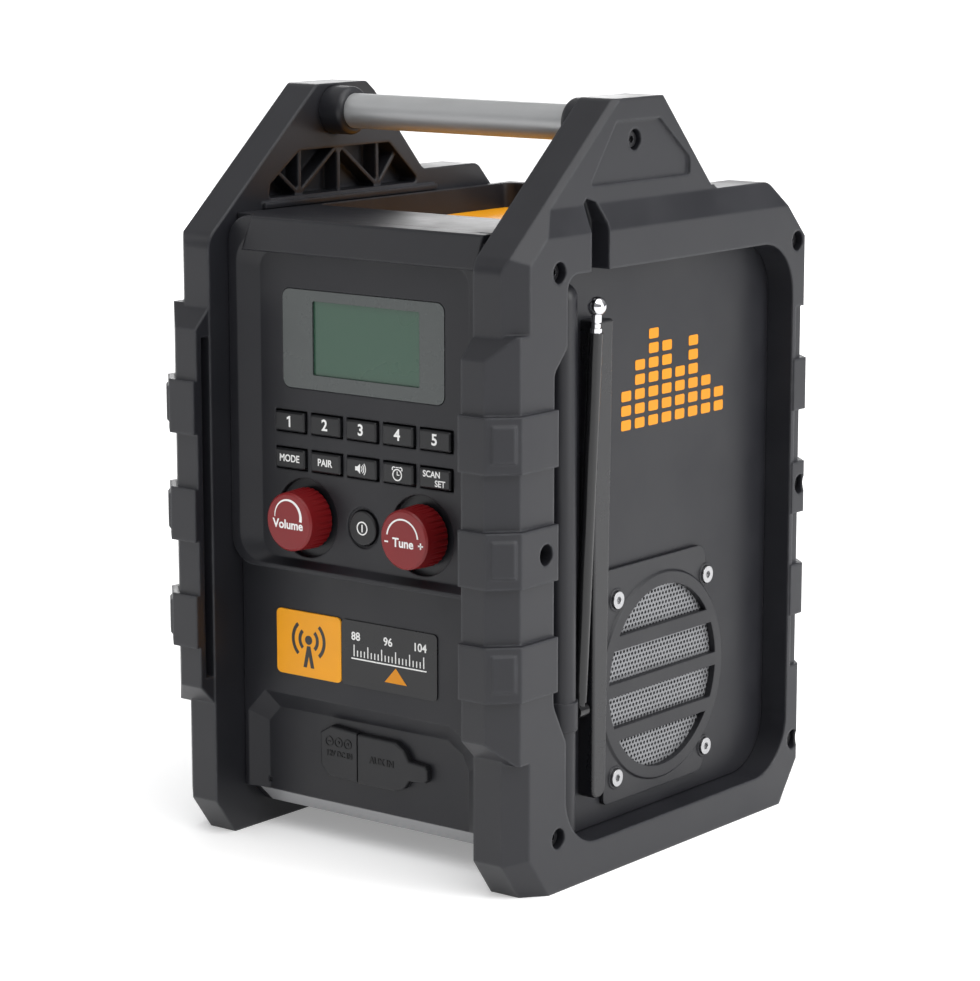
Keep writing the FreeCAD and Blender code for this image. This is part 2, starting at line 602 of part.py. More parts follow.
# thicker back behind the knobs and round the port recess
for sg in (-1, 1):
    add(bez, "Y", -PB - 0.1, -PB + 1.5, [("circ", sg * D("knob_x"), D("knob_z"), D("knob_recess_r") + 1.9)])
add(bez, "Y", -PB - 0.1, -(PF - 11.2), [("rect", -71.0, D("body_low") + 3, 66.0, 74.0)])
add(bez, "Y", -PB - 0.1, Q(-74.0, "-74 mm"), [("rect", -71.0, D("body_low"), 71.0, 20.0)])
for sg in (-1, 1):
    cut(bez, "Y", -PF - 1, -(PF - 3.4), [("circ", sg * D("knob_x"), D("knob_z"), D("knob_recess_r"))])
    cut(bez, "Y", -PF - 1, -(PF - 8.0), [("circ", sg * D("knob_x"), D("knob_z"), 4.6)])
loft_cut(bez, "Y", [(-LF - 0.01, ("poly", [(-72.0, 19.2), (-72.0, 57.0), (-61.5, 68.0), (46.5, 68.0), (59.0, 61.0), (63.5, 52.0), (63.5, 19.2)])),
                    (-(PF - 8.2), ("poly", [(-64.5, 19.2), (-64.5, 52.0), (-57.5, 59.5), (40.5, 59.5), (49.0, 54.5), (52.5, 47.5), (52.5, 19.2)]))])
# clearance round the shell's lower screw bosses
for lo, hi in ((63.2, 72.0), (-72.0, -63.2)):
    cut(bez, "X", lo, Q(hi, "%g mm" % hi), [("circ", -78.5, 24.0, 4.5)])
# sloped lower edge
cut(bez, "X", -BH - 1, BH + 1, [("poly", [(-(PF + 9), 5.0), (-(PF + 9), 21.2), (-LF, 21.2), (-(PF - 8.2), 20.0), (-74.0, D("body_low")), (-74.0, 5.0)])])
# display window: lens seat, then the opening for the module
LW, LD, LZ = D("lcd_w") / 2, D("lcd_d") / 2, D("lcd_z")
cut(bez, "Y", -PF - 1, -(PF - 1.2), [("rrect", -LW - 0.2, LZ - LD - 0.2, LW + 0.2, LZ + LD + 0.2, D("lcd_r"))])
cut(bez, "Y", -PF - 1, -(PF - 7.0), [("rect", -30.0, LZ - 17.4, 34.0, LZ + 18.6)])
# key openings
gw, gd = D("key_w") / 2 + D("key_gap"), D("key_d") / 2 + D("key_gap")
holes = []
for rowz in (D("key_row_one"), D("key_row_two")):
    for k in range(-2, 3):
        c = D("key_pitch") * k
        holes.append(("rect", c - gw, rowz - gd, c + gw, rowz + gd))
cut(bez, "Y", -PF - 1, -(PF - 7.0), holes)
cut(bez, "Y", -PF - 1, -(PF - 0.7), [("circ", 0, D("power_z"), D("power_r") + 1.5)])
cut(bez, "Y", -PF - 1, -(PF - 8.0), [("circ", 0, D("power_z"), D("power_r") + 0.4)])
cut(bez, "Y", -PF - 1, -(PF - 12), [("circ", -D("dc_x"), D("port_z"), 5.2), ("circ", D("aux_x"), D("port_z"), 3.7)])

lens = new_body("lcd_lens")
add(lens, "Y", -PF - 0.2, -(PF - 1.2), [("rrect", -LW, LZ - LD, LW, LZ + LD, D("lcd_r"))])
ease(lens, "Fillet", 0.5, lambda e: abs(mid(e).y + val("panel_front") + 0.2) < 1e-3)
lcd = new_body("lcd_module")
add(lcd, "Y", -(PF - 1.6), -(PF - 13.1), [("rect", -29.4, LZ - 16.8, 33.4, LZ + 18.0)])
add(lcd, "Y", -(PF - 5.5), -(PF - 13.1), [("rect", -36.0, LZ - 21.0, 40.0, LZ + 23.0)])

# name plate area: plain tile and plain dark plate
tile = new_body("badge_tile", (-D("tile_x"), -LF, D("tile_z")))
add(tile, "Y", -0.8, Q(0.0, "0 mm"), [("rrect", -D("tile_w") / 2, -D("tile_d") / 2, D("tile_w") / 2, D("tile_d") / 2, 2.6)])
plate = new_body("badge_plate", (D("plate_x"), -LF, D("tile_z")))
add(plate, "Y", -0.6, Q(0.0, "0 mm"), [("rrect", -D("plate_w") / 2, -D("tile_d") / 2, D("plate_w") / 2, D("tile_d") / 2, 2.2)])

# -------------------------------------------------------------------- keys
KEYS = [("key_1", -2, 1), ("key_2", -1, 1), ("key_3", 0, 1), ("key_4", 1, 1), ("key_5", 2, 1),
        ("key_mode", -2, 2), ("key_pair", -1, 2), ("key_sound", 0, 2), ("key_alarm", 1, 2), ("key_scan", 2, 2)]
for name, col, row in KEYS:
    kb = new_body(name, (D("key_pitch") * col, -PF, D("key_row_one") if row == 1 else D("key_row_two")))
    add(kb, "Y", -1.7, Q(3.4, "3.4 mm"), [("rrect", -D("key_w") / 2, -D("key_d") / 2, D("key_w") / 2, D("key_d") / 2, 1.0)])
    ease(kb, "Chamfer", 0.7, lambda e: abs(mid(e).y + 1.7) < 1e-4)
    add(kb, "Y", Q(3.4, "3.4 mm"), Q(4.6, "4.6 mm"), [("rect", -5.0, -2.6, 5.0, 2.6)])
    doc.recompute()
pw = new_body("power_button", (0, -PF, D("power_z")))
add(pw, "Y", -1.0, Q(3.4, "3.4 mm"), [("circ", 0, 0, D("power_r"))])
ease(pw, "Fillet", 0.8, lambda e: abs(mid(e).y + 1.0) < 1e-4)
add(pw, "Y", Q(3.4, "3.4 mm"), Q(4.6, "4.6 mm"), [("circ", 0, 0, 4.0)])
mat = new_body("keypad_mat")
add(mat, "Y", -(PF - 5.5), -(PF - 6.6), [("poly", [(-54.0, 172.3), (-13.0, 172.3), (-12.5, 138.0), (12.5, 138.0), (13.0, 172.3), (54.0, 172.3), (54.0, 203.0), (-54.0, 203.0)])])

# ------------------------------------------------------- knobs and encoders
ENC = []
for name, sg in (("volume", -1), ("tune", 1)):
    k = new_body(name + "_knob", (sg * D("knob_x"), -PF, D("knob_z")))
    R, L = D("knob_r"), D("knob_len")
    revolve(k, "Y", [(0, -L), (R - 1.6, -L), (R - 0.7, -L + 0.9), (R, 1.0), (R - 1.1, 2.0), (D("shaft_r"), 2.0), (D("shaft_r"), -7.5), (0, -7.5)])
    cut(k, "Y", -(L + 1) + 0.0, Q(2.5, "2.5 mm"), [("circ", R + 0.35, 0, 0.95)])
    polar = k.newObject("PartDesign::PolarPattern", name + "_ribs")
    polar.Originals = [k.Tip]
    polar.Axis = ([f for f in k.Origin.OriginFeatures if f.Role == "Y_Axis"][0], [""])
    polar.Angle = 360
    polar.Occurrences = 30
    k.Tip = polar
    doc.recompute()
    e = new_body(name + "_encoder", (sg * D("knob_x"), -PF, D("knob_z")), keep=False)
    ENC.append(e)
    add(e, "Y", Q(7.0, "7 mm"), Q(13.1, "13.1 mm"), [("rrect", -6.5, -6.5, 6.5, 6.5, 1.0)])
    add(e, "Y", Q(3.6, "3.6 mm"), Q(7.0, "7 mm"), [("circ", 0, 0, 4.5)])
    cut(e, "Y", Q(3.0, "3 mm"), Q(11.0, "11 mm"), [("circ", 0, 0, D("shaft_r") + 0.04)])
    sh = new_body(name + "_shaft", (sg * D("knob_x"), -PF, D("knob_z")))
    add(sh, "Y", -7.5, Q(10.8, "10.8 mm"), [("circ", 0, 0, D("shaft_r"))])
    ease(sh, "Chamfer", 0.4, lambda q2: abs(mid(q2).y - (-val("panel_front") + 10.8)) < 1e-3 or abs(mid(q2).y - 10.8) < 1e-3)

grouped("encoders", ENC)

# -------------------------------------------------------------------- ports
FL = -(PF - 8.2)                              # floor of the port recess
dc = new_body("dc_jack", (-D("dc_x"), FL, D("port_z")))
add(dc, "Y", 0.2 + Q(0.0, "0 mm"), Q(11.0, "11 mm"), [("circ", 0, 0, 5.2), ("circ", 0, 0, 2.75)])
add(dc, "Y", Q(10.0, "10 mm"), Q(12.0, "12 mm"), [("circ", 0, 0, 5.2)])
add(dc, "Y", Q(1.2, "1.2 mm"), Q(11.0, "11 mm"), [("circ", 0, 0, 1.05)])
ax = new_body("aux_jack", (D("aux_x"), FL, D("port_z")))
add(ax, "Y", 0.2 + Q(0.0, "0 mm"), Q(12.0, "12 mm"), [("circ", 0, 0, 3.7), ("circ", 0, 0, 1.8)])
add(ax, "Y", Q(12.0, "12 mm"), Q(13.0, "13 mm"), [("circ", 0, 0, 3.7)])

fd = new_body("dc_flap")
add(fd, "Y", FL - 3.4, FL, [("poly", [(-9.2, 32.4), (-9.2, 55.3), (-24.5, 56.4), (-30.6, 52.8), (-30.6, 37.6), (-26.0, 32.8)])])
ease(fd, "Fillet", 0.9, lambda e: abs(mid(e).y - num(FL - 3.4)) < 1e-3 and mid(e).x < -9.3)
fa = new_body("aux_flap")
add(fa, "Y", FL - 3.4, FL, [("poly", [(-8.4, 32.0), (13.0, 32.0), (18.0, 34.0), (21.0, 38.0), (30.2, 38.6), (31.6, 40.4), (31.6, 44.6), (30.2, 46.4),
                                     (21.0, 47.0), (18.2, 51.6), (13.0, 54.6), (-8.4, 54.9)])])
ease(fa, "Fillet", 0.9, lambda e: abs(mid(e).y - num(FL - 3.4)) < 1e-3 and mid(e).x > -8.3)

# ---------------------------------------------------------- circuit boards
pcb = new_body("control_board")
add(pcb, "Y", -(PF - 13.1), -(PF - 14.7), [("rrect", -60.0, 133.0, 60.0, 262.0, 2.0)])
mb = new_body("main_board")
add(mb, "Y", -(PF - 21.2), -(PF - 22.8), [("rrect", -62.0, 24.0, 62.0, 122.0, 2.0)])
amp = new_body("power_amplifier", (0, -(PF - 22.8), 96.0))
add(amp, "Y", Q(0.0, "0 mm") + 0.0, Q(16.0, "16 mm"), [("rect", -24.0, -12.0, 24.0, 12.0)])
fins = [("rect", -22.0 + 5.5 * k, -13.0, -19.4 + 5.5 * k, 13.0) for k in range(8)]
cut(amp, "Y", Q(4.0, "4 mm"), Q(17.0, "17 mm"), fins)

# ------------------------------------------------------------- side panels
OPEN = [(-73.4, 268.7, 7.0), (102.2, 268.7, 24.5), (102.2, 16.8, 26.0), (-73.4, 16.8, 26.0),
        (-73.4, 66.0, 6.0), (-82.6, 84.0, 10.0), (-82.6, 228.0, 6.0), (-73.4, 238.0, 4.0)]


def shrink(pts, d):
    """Rectangle-like outline pulled in by d on every side."""
    out = []
    cy, cz = 10.0, 142.0
    for p in pts:
        out.append((p[0] + (d if p[0] < cy else -d), p[1] + (d if p[1] < cz else -d), max(p[2] - d, 1.0)))
    return out


def side_panel(sg, with_mast):
    PFX, W = val("panel_face"), val("panel_wall")
    s = prism("X", 74.8, PFX, shrink(OPEN, 0.35))
    s = s.cut(prism("X", 73.0, PFX - W, shrink(OPEN, 3.2)))
    s = s.cut(cyl(val("spk_r") + 1.5, (70, val("spk_y"), val("spk_z")), (90, val("spk_y"), val("spk_z"))))
    for ky in (-1, 1):
        for kz in (-1, 1):
            y, z = val("spk_y") - 0.6 + ky * val("spk_sy") / 2, val("spk_z") + kz * val("spk_sz") / 2
            s = s.cut(cyl(1.75, (70, y, z), (90, y, z)))
    if with_mast:
        rail = cyl(7.0, (86.0, -61.2, 22.0), (86.0, -61.2, 257.0)).cut(box(60, PFX - 0.2, -90, 0, 0, 300))
        cap = Part.makeSphere(7.0, V3(86.0, -61.2, 257.0)).cut(box(60, PFX - 0.2, -90, 0, 0, 300))
        # band round the rail beside the antenna pivot
        band = cyl(8.0, (86.0, -61.2, 67.6), (86.0, -61.2, 80.4)).cut(box(60, PFX - 0.2, -90, 0, 0, 300)).cut(box(60, 120, -53.95, 0, 0, 300))
        s = s.fuse(rail.fuse(cap).fuse(band).common(prism("X", 60.0, 120.0, shrink(OPEN, 0.4))))
        s = s.cut(cyl(1.5, (val("mast_x"), -59.0, val("mast_z")), (val("mast_x"), -52.0, val("mast_z"))))
    if sg < 0:
        s = s.mirror(V3(0, 0, 0), V3(1, 0, 0))
    return s.removeSplitter()


feature("side_panel_right", side_panel(1, True))
feature("side_panel_left", side_panel(-1, False))

# ---------------------------------------------------------------- speakers
GY0, GY1, GZ0, GZ1 = -29.4, 49.5, 25.4, 132.6
BARS = [(101.6, 121.0), (80.3, 95.2), (59.7, 74.3), (34.0, 53.6)]


def grille(sg):
    x0 = val("panel_face")
    x1 = x0 + val("grille_t")
    cy, cz, r = val("spk_y"), val("spk_z"), val("spk_r")
    base = prism("X", x0, x1 - 1.0, [(GY0, GZ0, 3.0), (GY1, GZ0, 6.0), (GY1, GZ1, 6.0), (GY0, GZ1, 3.0)])
    ring = cyl(r + 6.2, (x0, cy, cz), (x1, cy, cz)).common(box(60, 120, GY0, 80, 0, 200))
    try:
        ring = ring.makeChamfer(0.9, [e for e in ring.Edges if abs(e.BoundBox.XMin - x1) < 1e-6 and e.Curve.TypeId == "Part::GeomCircle"])
    except Exception:
        print("ring left sharp")
    s = base.fuse(ring)
    disc = cyl(r, (x0 - 1, cy, cz), (x1 + 1, cy, cz))
    for z0, z1 in BARS:
        s = s.cut(disc.common(box(60, 120, -60, 90, z0, z1)))
    # dished pockets round the openings
    for ky in (-1, 1):
        for kz in (-1, 1):
            y, z = cy - 0.6 + ky * val("spk_sy") / 2, cz + kz * val("spk_sz") / 2
            s = s.fuse(cyl(5.2, (x0, y, z), (x1 - 0.5, y, z)))
            s = s.cut(cyl(1.8, (x0 - 1, y, z), (x1 + 1, y, z)))
            s = s.cut(cyl(4.1, (x1 - 1.7, y, z), (x1 + 1, y, z)))
    if sg < 0:
        s = s.mirror(V3(0, 0, 0), V3(1, 0, 0))
    return s.removeSplitter()


for side, sg in (("right", 1), ("left", -1)):
    feature("speaker_grille_" + side, grille(sg))
    m = new_body("speaker_mesh_" + side, (0, D("spk_y"), D("spk_z")))
    lo, hi = (D("panel_face") - D("mesh_t"), D("panel_face")) if sg > 0 else (-D("panel_face"), -(D("panel_face") - D("mesh_t")))
    add(m, "X", lo, hi, [("circ", 0, 0, D("spk_r") + 1.3)])

PX = val("panel_face") - val("panel_wall")
CY, CZ, SR = val("spk_y"), val("spk_z"), val("spk_r")


def ring(r_out, r_in, a, b2):
    """Tube coaxial with the speaker, measured inwards from the panel's inner face."""
    s = cyl(r_out, (PX - b2, CY, CZ), (PX - a, CY, CZ))
    return s.cut(cyl(r_in, (PX - b2 - 1, CY, CZ), (PX - a + 1, CY, CZ))) if r_in else s


# bought-in driver, bonded as one unit: flange, basket, magnet, paper cone and dust cap
driver = ring(SR - 4.0, SR - 8.8, 0.0, 2.0).fuse(ring(SR - 7.0, SR - 8.8, 1.9, 14.1)).fuse(ring(SR - 7.0, 0, 14.0, 16.0))
magnet = ring(19.0, 0, 15.9, 26.0)
magnet = magnet.makeChamfer(1.0, [e for e in magnet.Edges if e.Curve.TypeId == "Part::GeomCircle" and e.BoundBox.XMax < PX - 20])
outer = Part.makeCone(SR - 8.5, 10.0, 11.0, V3(PX - 1.4, CY, CZ), V3(-1, 0, 0))
inner = Part.makeCone(SR - 9.5, 9.0, 11.0, V3(PX - 1.0, CY, CZ), V3(-1, 0, 0))
cap = Part.makeSphere(13.0, V3(PX - 18.2, CY, CZ)).common(cyl(10.4, (PX - 11.6, CY, CZ), (PX - 2.0, CY, CZ)))
driver = driver.fuse(magnet).fuse(outer.cut(inner)).fuse(cap).fuse(ring(9.6, 8.0, 11.0, 14.5)).removeSplitter()
right = feature("speaker_driver_right", driver)
NODES.append(("speaker_driver_left", mirrored(right, "speaker_driver_left")))

sp = []
for sg in (1, -1):
    for ky in (-1, 1):
        for kz in (-1, 1):
            y, z = val("spk_y") - 0.6 + ky * val("spk_sy") / 2, val("spk_z") + kz * val("spk_sz") / 2
            x1 = val("panel_face") + val("grille_t")
            sp.append(hex_screw(sg * (x1 + 0.6), y, z, sg, sg * 76.5, 3.9, 2.3, 1.7))
feature("speaker_screws", Part.makeCompound(sp))

# ----------------------------------------------------------------- antenna
MX, MY, MZ = val("mast_x"), -val("mast_y"), val("mast_z")
LEAN = math.radians(val("mast_lean"))
AX = V3(math.sin(LEAN), 0, math.cos(LEAN))


def at(l):
    return V3(MX, MY, MZ) + AX * l


def rod(r, a, b2):
    return Part.makeCylinder(r, b2 - a, at(a), AX)


guard = prism("X", val("panel_face"), 92.8, [(MY + 4.4, 246.0, 0.8), (MY + 17.8, 246.0, 1.5), (MY + 14.2, 33.0, 5.5), (MY + 4.4, 33.0, 3.5)])
guard = soft_fillet(guard, 1.1, lambda e: abs(e.BoundBox.XMin - 92.8) < 1e-6 and abs(e.BoundBox.XMax - 92.8) < 1e-6)
guard = guard.cut(cyl(1.5, (MX, MY, MZ), (MX, MY + 9.5, MZ)))
feature("antenna_guard", guard)
feature("antenna_pin", cyl(1.5, (MX, MY - 8.6, MZ), (MX, MY + 9.3, MZ)))
base = rod(3.2, 4.0, 168.0).fuse(cyl(3.4, (MX, MY - 3.2, MZ), (MX, MY + 3.2, MZ)).fuse(rod(2.6, 0.0, 5.0)))
base = base.cut(cyl(1.55, (MX, MY - 6, MZ), (MX, MY + 6, MZ))).cut(rod(2.66, 8.0, 170.0))
feature("antenna_base", base.removeSplitter())
feature("antenna_mid", rod(2.60, 9.0, 170.0).cut(rod(2.06, 12.0, 172.0)))
feature("antenna_upper", rod(2.0, 13.0, 172.0).cut(rod(1.56, 16.0, 174.0)))
tip = rod(1.5, 17.0, 176.0).fuse(Part.makeSphere(4.2, at(179.4))).fuse(rod(2.3, 172.6, 176.5))
feature("antenna_tip", tip.removeSplitter())

# ---------------------------------------------------------------- rear side
RF = D("rear_face")
DW, DD, DZ = D("door_w") / 2, D("door_d") / 2, D("door_z")
rear = new_body("rear_cover")
add(rear, "Y", RF - 3, RF, [("rect", -BH, D("body_low"), BH, D("body_top"))])
ease(rear, "Fillet", 1.2, lambda e: abs(mid(e).y - val("rear_face")) < 1e-4)
add(rear, "Y", RF - 2, RF + 2.4, [("rrect", -DW - 9, DZ - DD - 9, DW + 9, DZ + DD + 12, 6.0)])
ease(rear, "Chamfer", 1.6, lambda e: abs(mid(e).y - (val("rear_face") + 2.4)) < 1e-4)
cut(rear, "Y", RF - 4, RF + 4, [("rect", -DW, DZ - DD, DW, DZ + DD)])
cut(rear, "Y", RF + 1.0, RF + 4, [("rect", -6.2, DZ + DD - 1, 6.2, DZ + DD + 3.2)])
cut(rear, "Y", RF - 4, RF + 1, [("rrect", -44.0, 222.0 + 7.0 * k, 44.0, 225.0 + 7.0 * k, 1.4) for k in range(6)])
HY, HZ = RF - 0.4, DZ - DD + 2.8
cut(rear, "X", -DW - 3.5, DW + 3.5, [("circ", HY, HZ, 1.2)])
RS = REAR_SCREWS
cut(rear, "Y", RF - 1.6, RF + 1, [("circ", x, z, 3.4) for x, z in RS])
cut(rear, "Y", RF - 4, RF + 1, [("circ", x, z, 1.6) for x, z in RS])
rs = []
for x, z in RS:
    y = val("rear_face")
    sc = cyl(3.1, (x, y - 1.6, z), (x, y - 0.1, z)).fuse(cyl(1.55, (x, y - 1.6, z), (x, y - 12.0, z)))
    sc = sc.cut(box(x - 2.2, x + 2.2, y - 0.9, y, z - 0.45, z + 0.45)).cut(box(x - 0.45, x + 0.45, y - 0.9, y, z - 2.2, z + 2.2))
    rs.append(sc)
feature("rear_screws", Part.makeCompound(rs))
pin = new_body("door_hinge_pin", (0, HY, HZ))
add(pin, "X", -DW - 3.4, DW + 3.4, [("circ", 0, 0, 1.2)])

door = new_body("battery_door")
add(door, "Y", RF - 1.8, RF + 1.0, [("rect", -DW + 0.5, HZ, DW - 0.5, DZ + DD - 0.5)])
add(door, "X", -DW + 0.5, DW - 0.5, [("circ", HY, HZ, 2.3)])
cut(door, "X", -DW - 1, DW + 1, [("circ", HY, HZ, 1.26)])
add(door, "Y", RF + 0.9, RF + 2.2, [("rrect", -DW + 8 + 1.0, DZ - 42 + k * 14.0, DW - 8 - 1.0, DZ - 38.5 + k * 14.0, 1.5) for k in range(5)])
cut(door, "Y", RF + 0.1, RF + 4, [("rect", -9.4, DZ + DD - 22.0, 9.4, DZ + DD + 1)])
latch = new_body("door_latch")
add(latch, "Y", RF + 0.2, RF + 2.6, [("rect", -9.0, DZ + DD - 14.5, 9.0, DZ + DD - 2.5)])
ease(latch, "Chamfer", 0.7, lambda e: abs(mid(e).y - (val("rear_face") + 2.6)) < 1e-4)
add(latch, "Y", RF + 1.2, RF + 2.2, [("rect", -5.4, DZ + DD - 3.0, 5.4, DZ + DD + 2.6)])
cut(latch, "Y", RF + 1.9, RF + 4, [("rect", -7.0, DZ + DD - 12.5 + 2.6 * k, 7.0, DZ + DD - 11.3 + 2.6 * k) for k in range(3)])

pk = new_body("battery_pack", (0, RF - 6, DZ))
add(pk, "Y", -D("pack_t"), Q(0.0, "0 mm"), [("rrect", -D("pack_w") / 2, -D("pack_d") / 2, D("pack_w") / 2, D("pack_d") / 2, 5.0)])
ease(pk, "Fillet", 2.0, lambda e: abs(mid(e).y - (val("rear_face") - 6)) < 1e-3 or abs(mid(e).y) < 1e-3)
bay = new_body("battery_bay", (0, RF - 3, DZ))
PW2, PD2 = D("pack_w") / 2, D("pack_d") / 2
add(bay, "Y", -D("pack_t") - 6, Q(0.0, "0 mm"), [("rect", -PW2 - 4, -PD2 - 4, PW2 + 4, PD2 + 4)])
cut(bay, "Y", -D("pack_t") - 3.6, Q(1.0, "1 mm"), [("rect", -PW2 - 1, -PD2 - 1, PW2 + 1, PD2 + 1)])
tm = [box(-22.0 + 36.0 * k, -14.0 + 36.0 * k, val("rear_face") - 6.6 - val("pack_t"), val("rear_face") - 6.0 - val("pack_t"), val("door_z") - 10, val("door_z") + 10) for k in range(2)]
feature("battery_contacts", Part.makeCompound(tm))

# ------------------------------------------------------------------- checks
doc.recompute()
bad = []
for o in doc.Objects:
    if "Invalid" in o.State or "Error" in o.State:
        bad.append("%s %s" % (o.Label, o.State))
for label, o in NODES:
    if o.Shape.isNull() or not o.Shape.isValid() or o.Shape.Volume <= 0:
        bad.append("shape " + label)
if bad:
    raise RuntimeError("; ".join(bad))
for label, o in NODES:
    o.Shape.exportStep("parts/%s.step" % label)
total = None
for label, o in NODES:
    b = o.Shape.BoundBox
    total = FreeCAD.BoundBox(b) if total is None else total
    total.add(b)
    print("%-22s %2d solids %9.1f mm3  x %.1f..%.1f y %.1f..%.1f z %.1f..%.1f" % (
        label, len(o.Shape.Solids), o.Shape.Volume, b.XMin, b.XMax, b.YMin, b.YMax, b.ZMin, b.ZMax))
print("nodes", len(NODES), "box", total)
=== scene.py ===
import bpy, bmesh, math, json, random
from mathutils import Vector, Matrix


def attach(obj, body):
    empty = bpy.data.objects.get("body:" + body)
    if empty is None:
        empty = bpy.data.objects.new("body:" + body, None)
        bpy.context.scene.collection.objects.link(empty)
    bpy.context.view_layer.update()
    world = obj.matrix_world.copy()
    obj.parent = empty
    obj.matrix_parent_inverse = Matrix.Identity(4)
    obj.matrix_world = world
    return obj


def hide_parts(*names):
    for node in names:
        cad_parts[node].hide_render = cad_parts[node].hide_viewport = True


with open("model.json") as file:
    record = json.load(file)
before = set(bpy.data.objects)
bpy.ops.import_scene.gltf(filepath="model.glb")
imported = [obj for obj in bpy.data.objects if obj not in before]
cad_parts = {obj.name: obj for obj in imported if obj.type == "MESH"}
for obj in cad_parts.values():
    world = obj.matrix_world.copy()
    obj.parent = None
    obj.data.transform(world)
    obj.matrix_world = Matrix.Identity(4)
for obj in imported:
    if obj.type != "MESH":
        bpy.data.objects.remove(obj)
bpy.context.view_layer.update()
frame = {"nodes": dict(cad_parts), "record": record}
NODES = frame["nodes"]
MM = 0.001
random.seed(7)


# ------------------------------------------------------------------ materials
def new_mat(name):
    m = bpy.data.materials.new(name)
    m.use_nodes = True
    nt = m.node_tree
    for n in list(nt.nodes):
        nt.nodes.remove(n)
    out = nt.nodes.new("ShaderNodeOutputMaterial")
    bs = nt.nodes.new("ShaderNodeBsdfPrincipled")
    nt.links.new(bs.outputs["BSDF"], out.inputs["Surface"])
    return m, nt, bs


def ramp(nt, lo, hi, a=0.3, b=0.7):
    r = nt.nodes.new("ShaderNodeValToRGB")
    r.color_ramp.elements[0].position = a
    r.color_ramp.elements[1].position = b
    r.color_ramp.elements[0].color = (lo[0], lo[1], lo[2], 1.0)
    r.color_ramp.elements[1].color = (hi[0], hi[1], hi[2], 1.0)
    return r


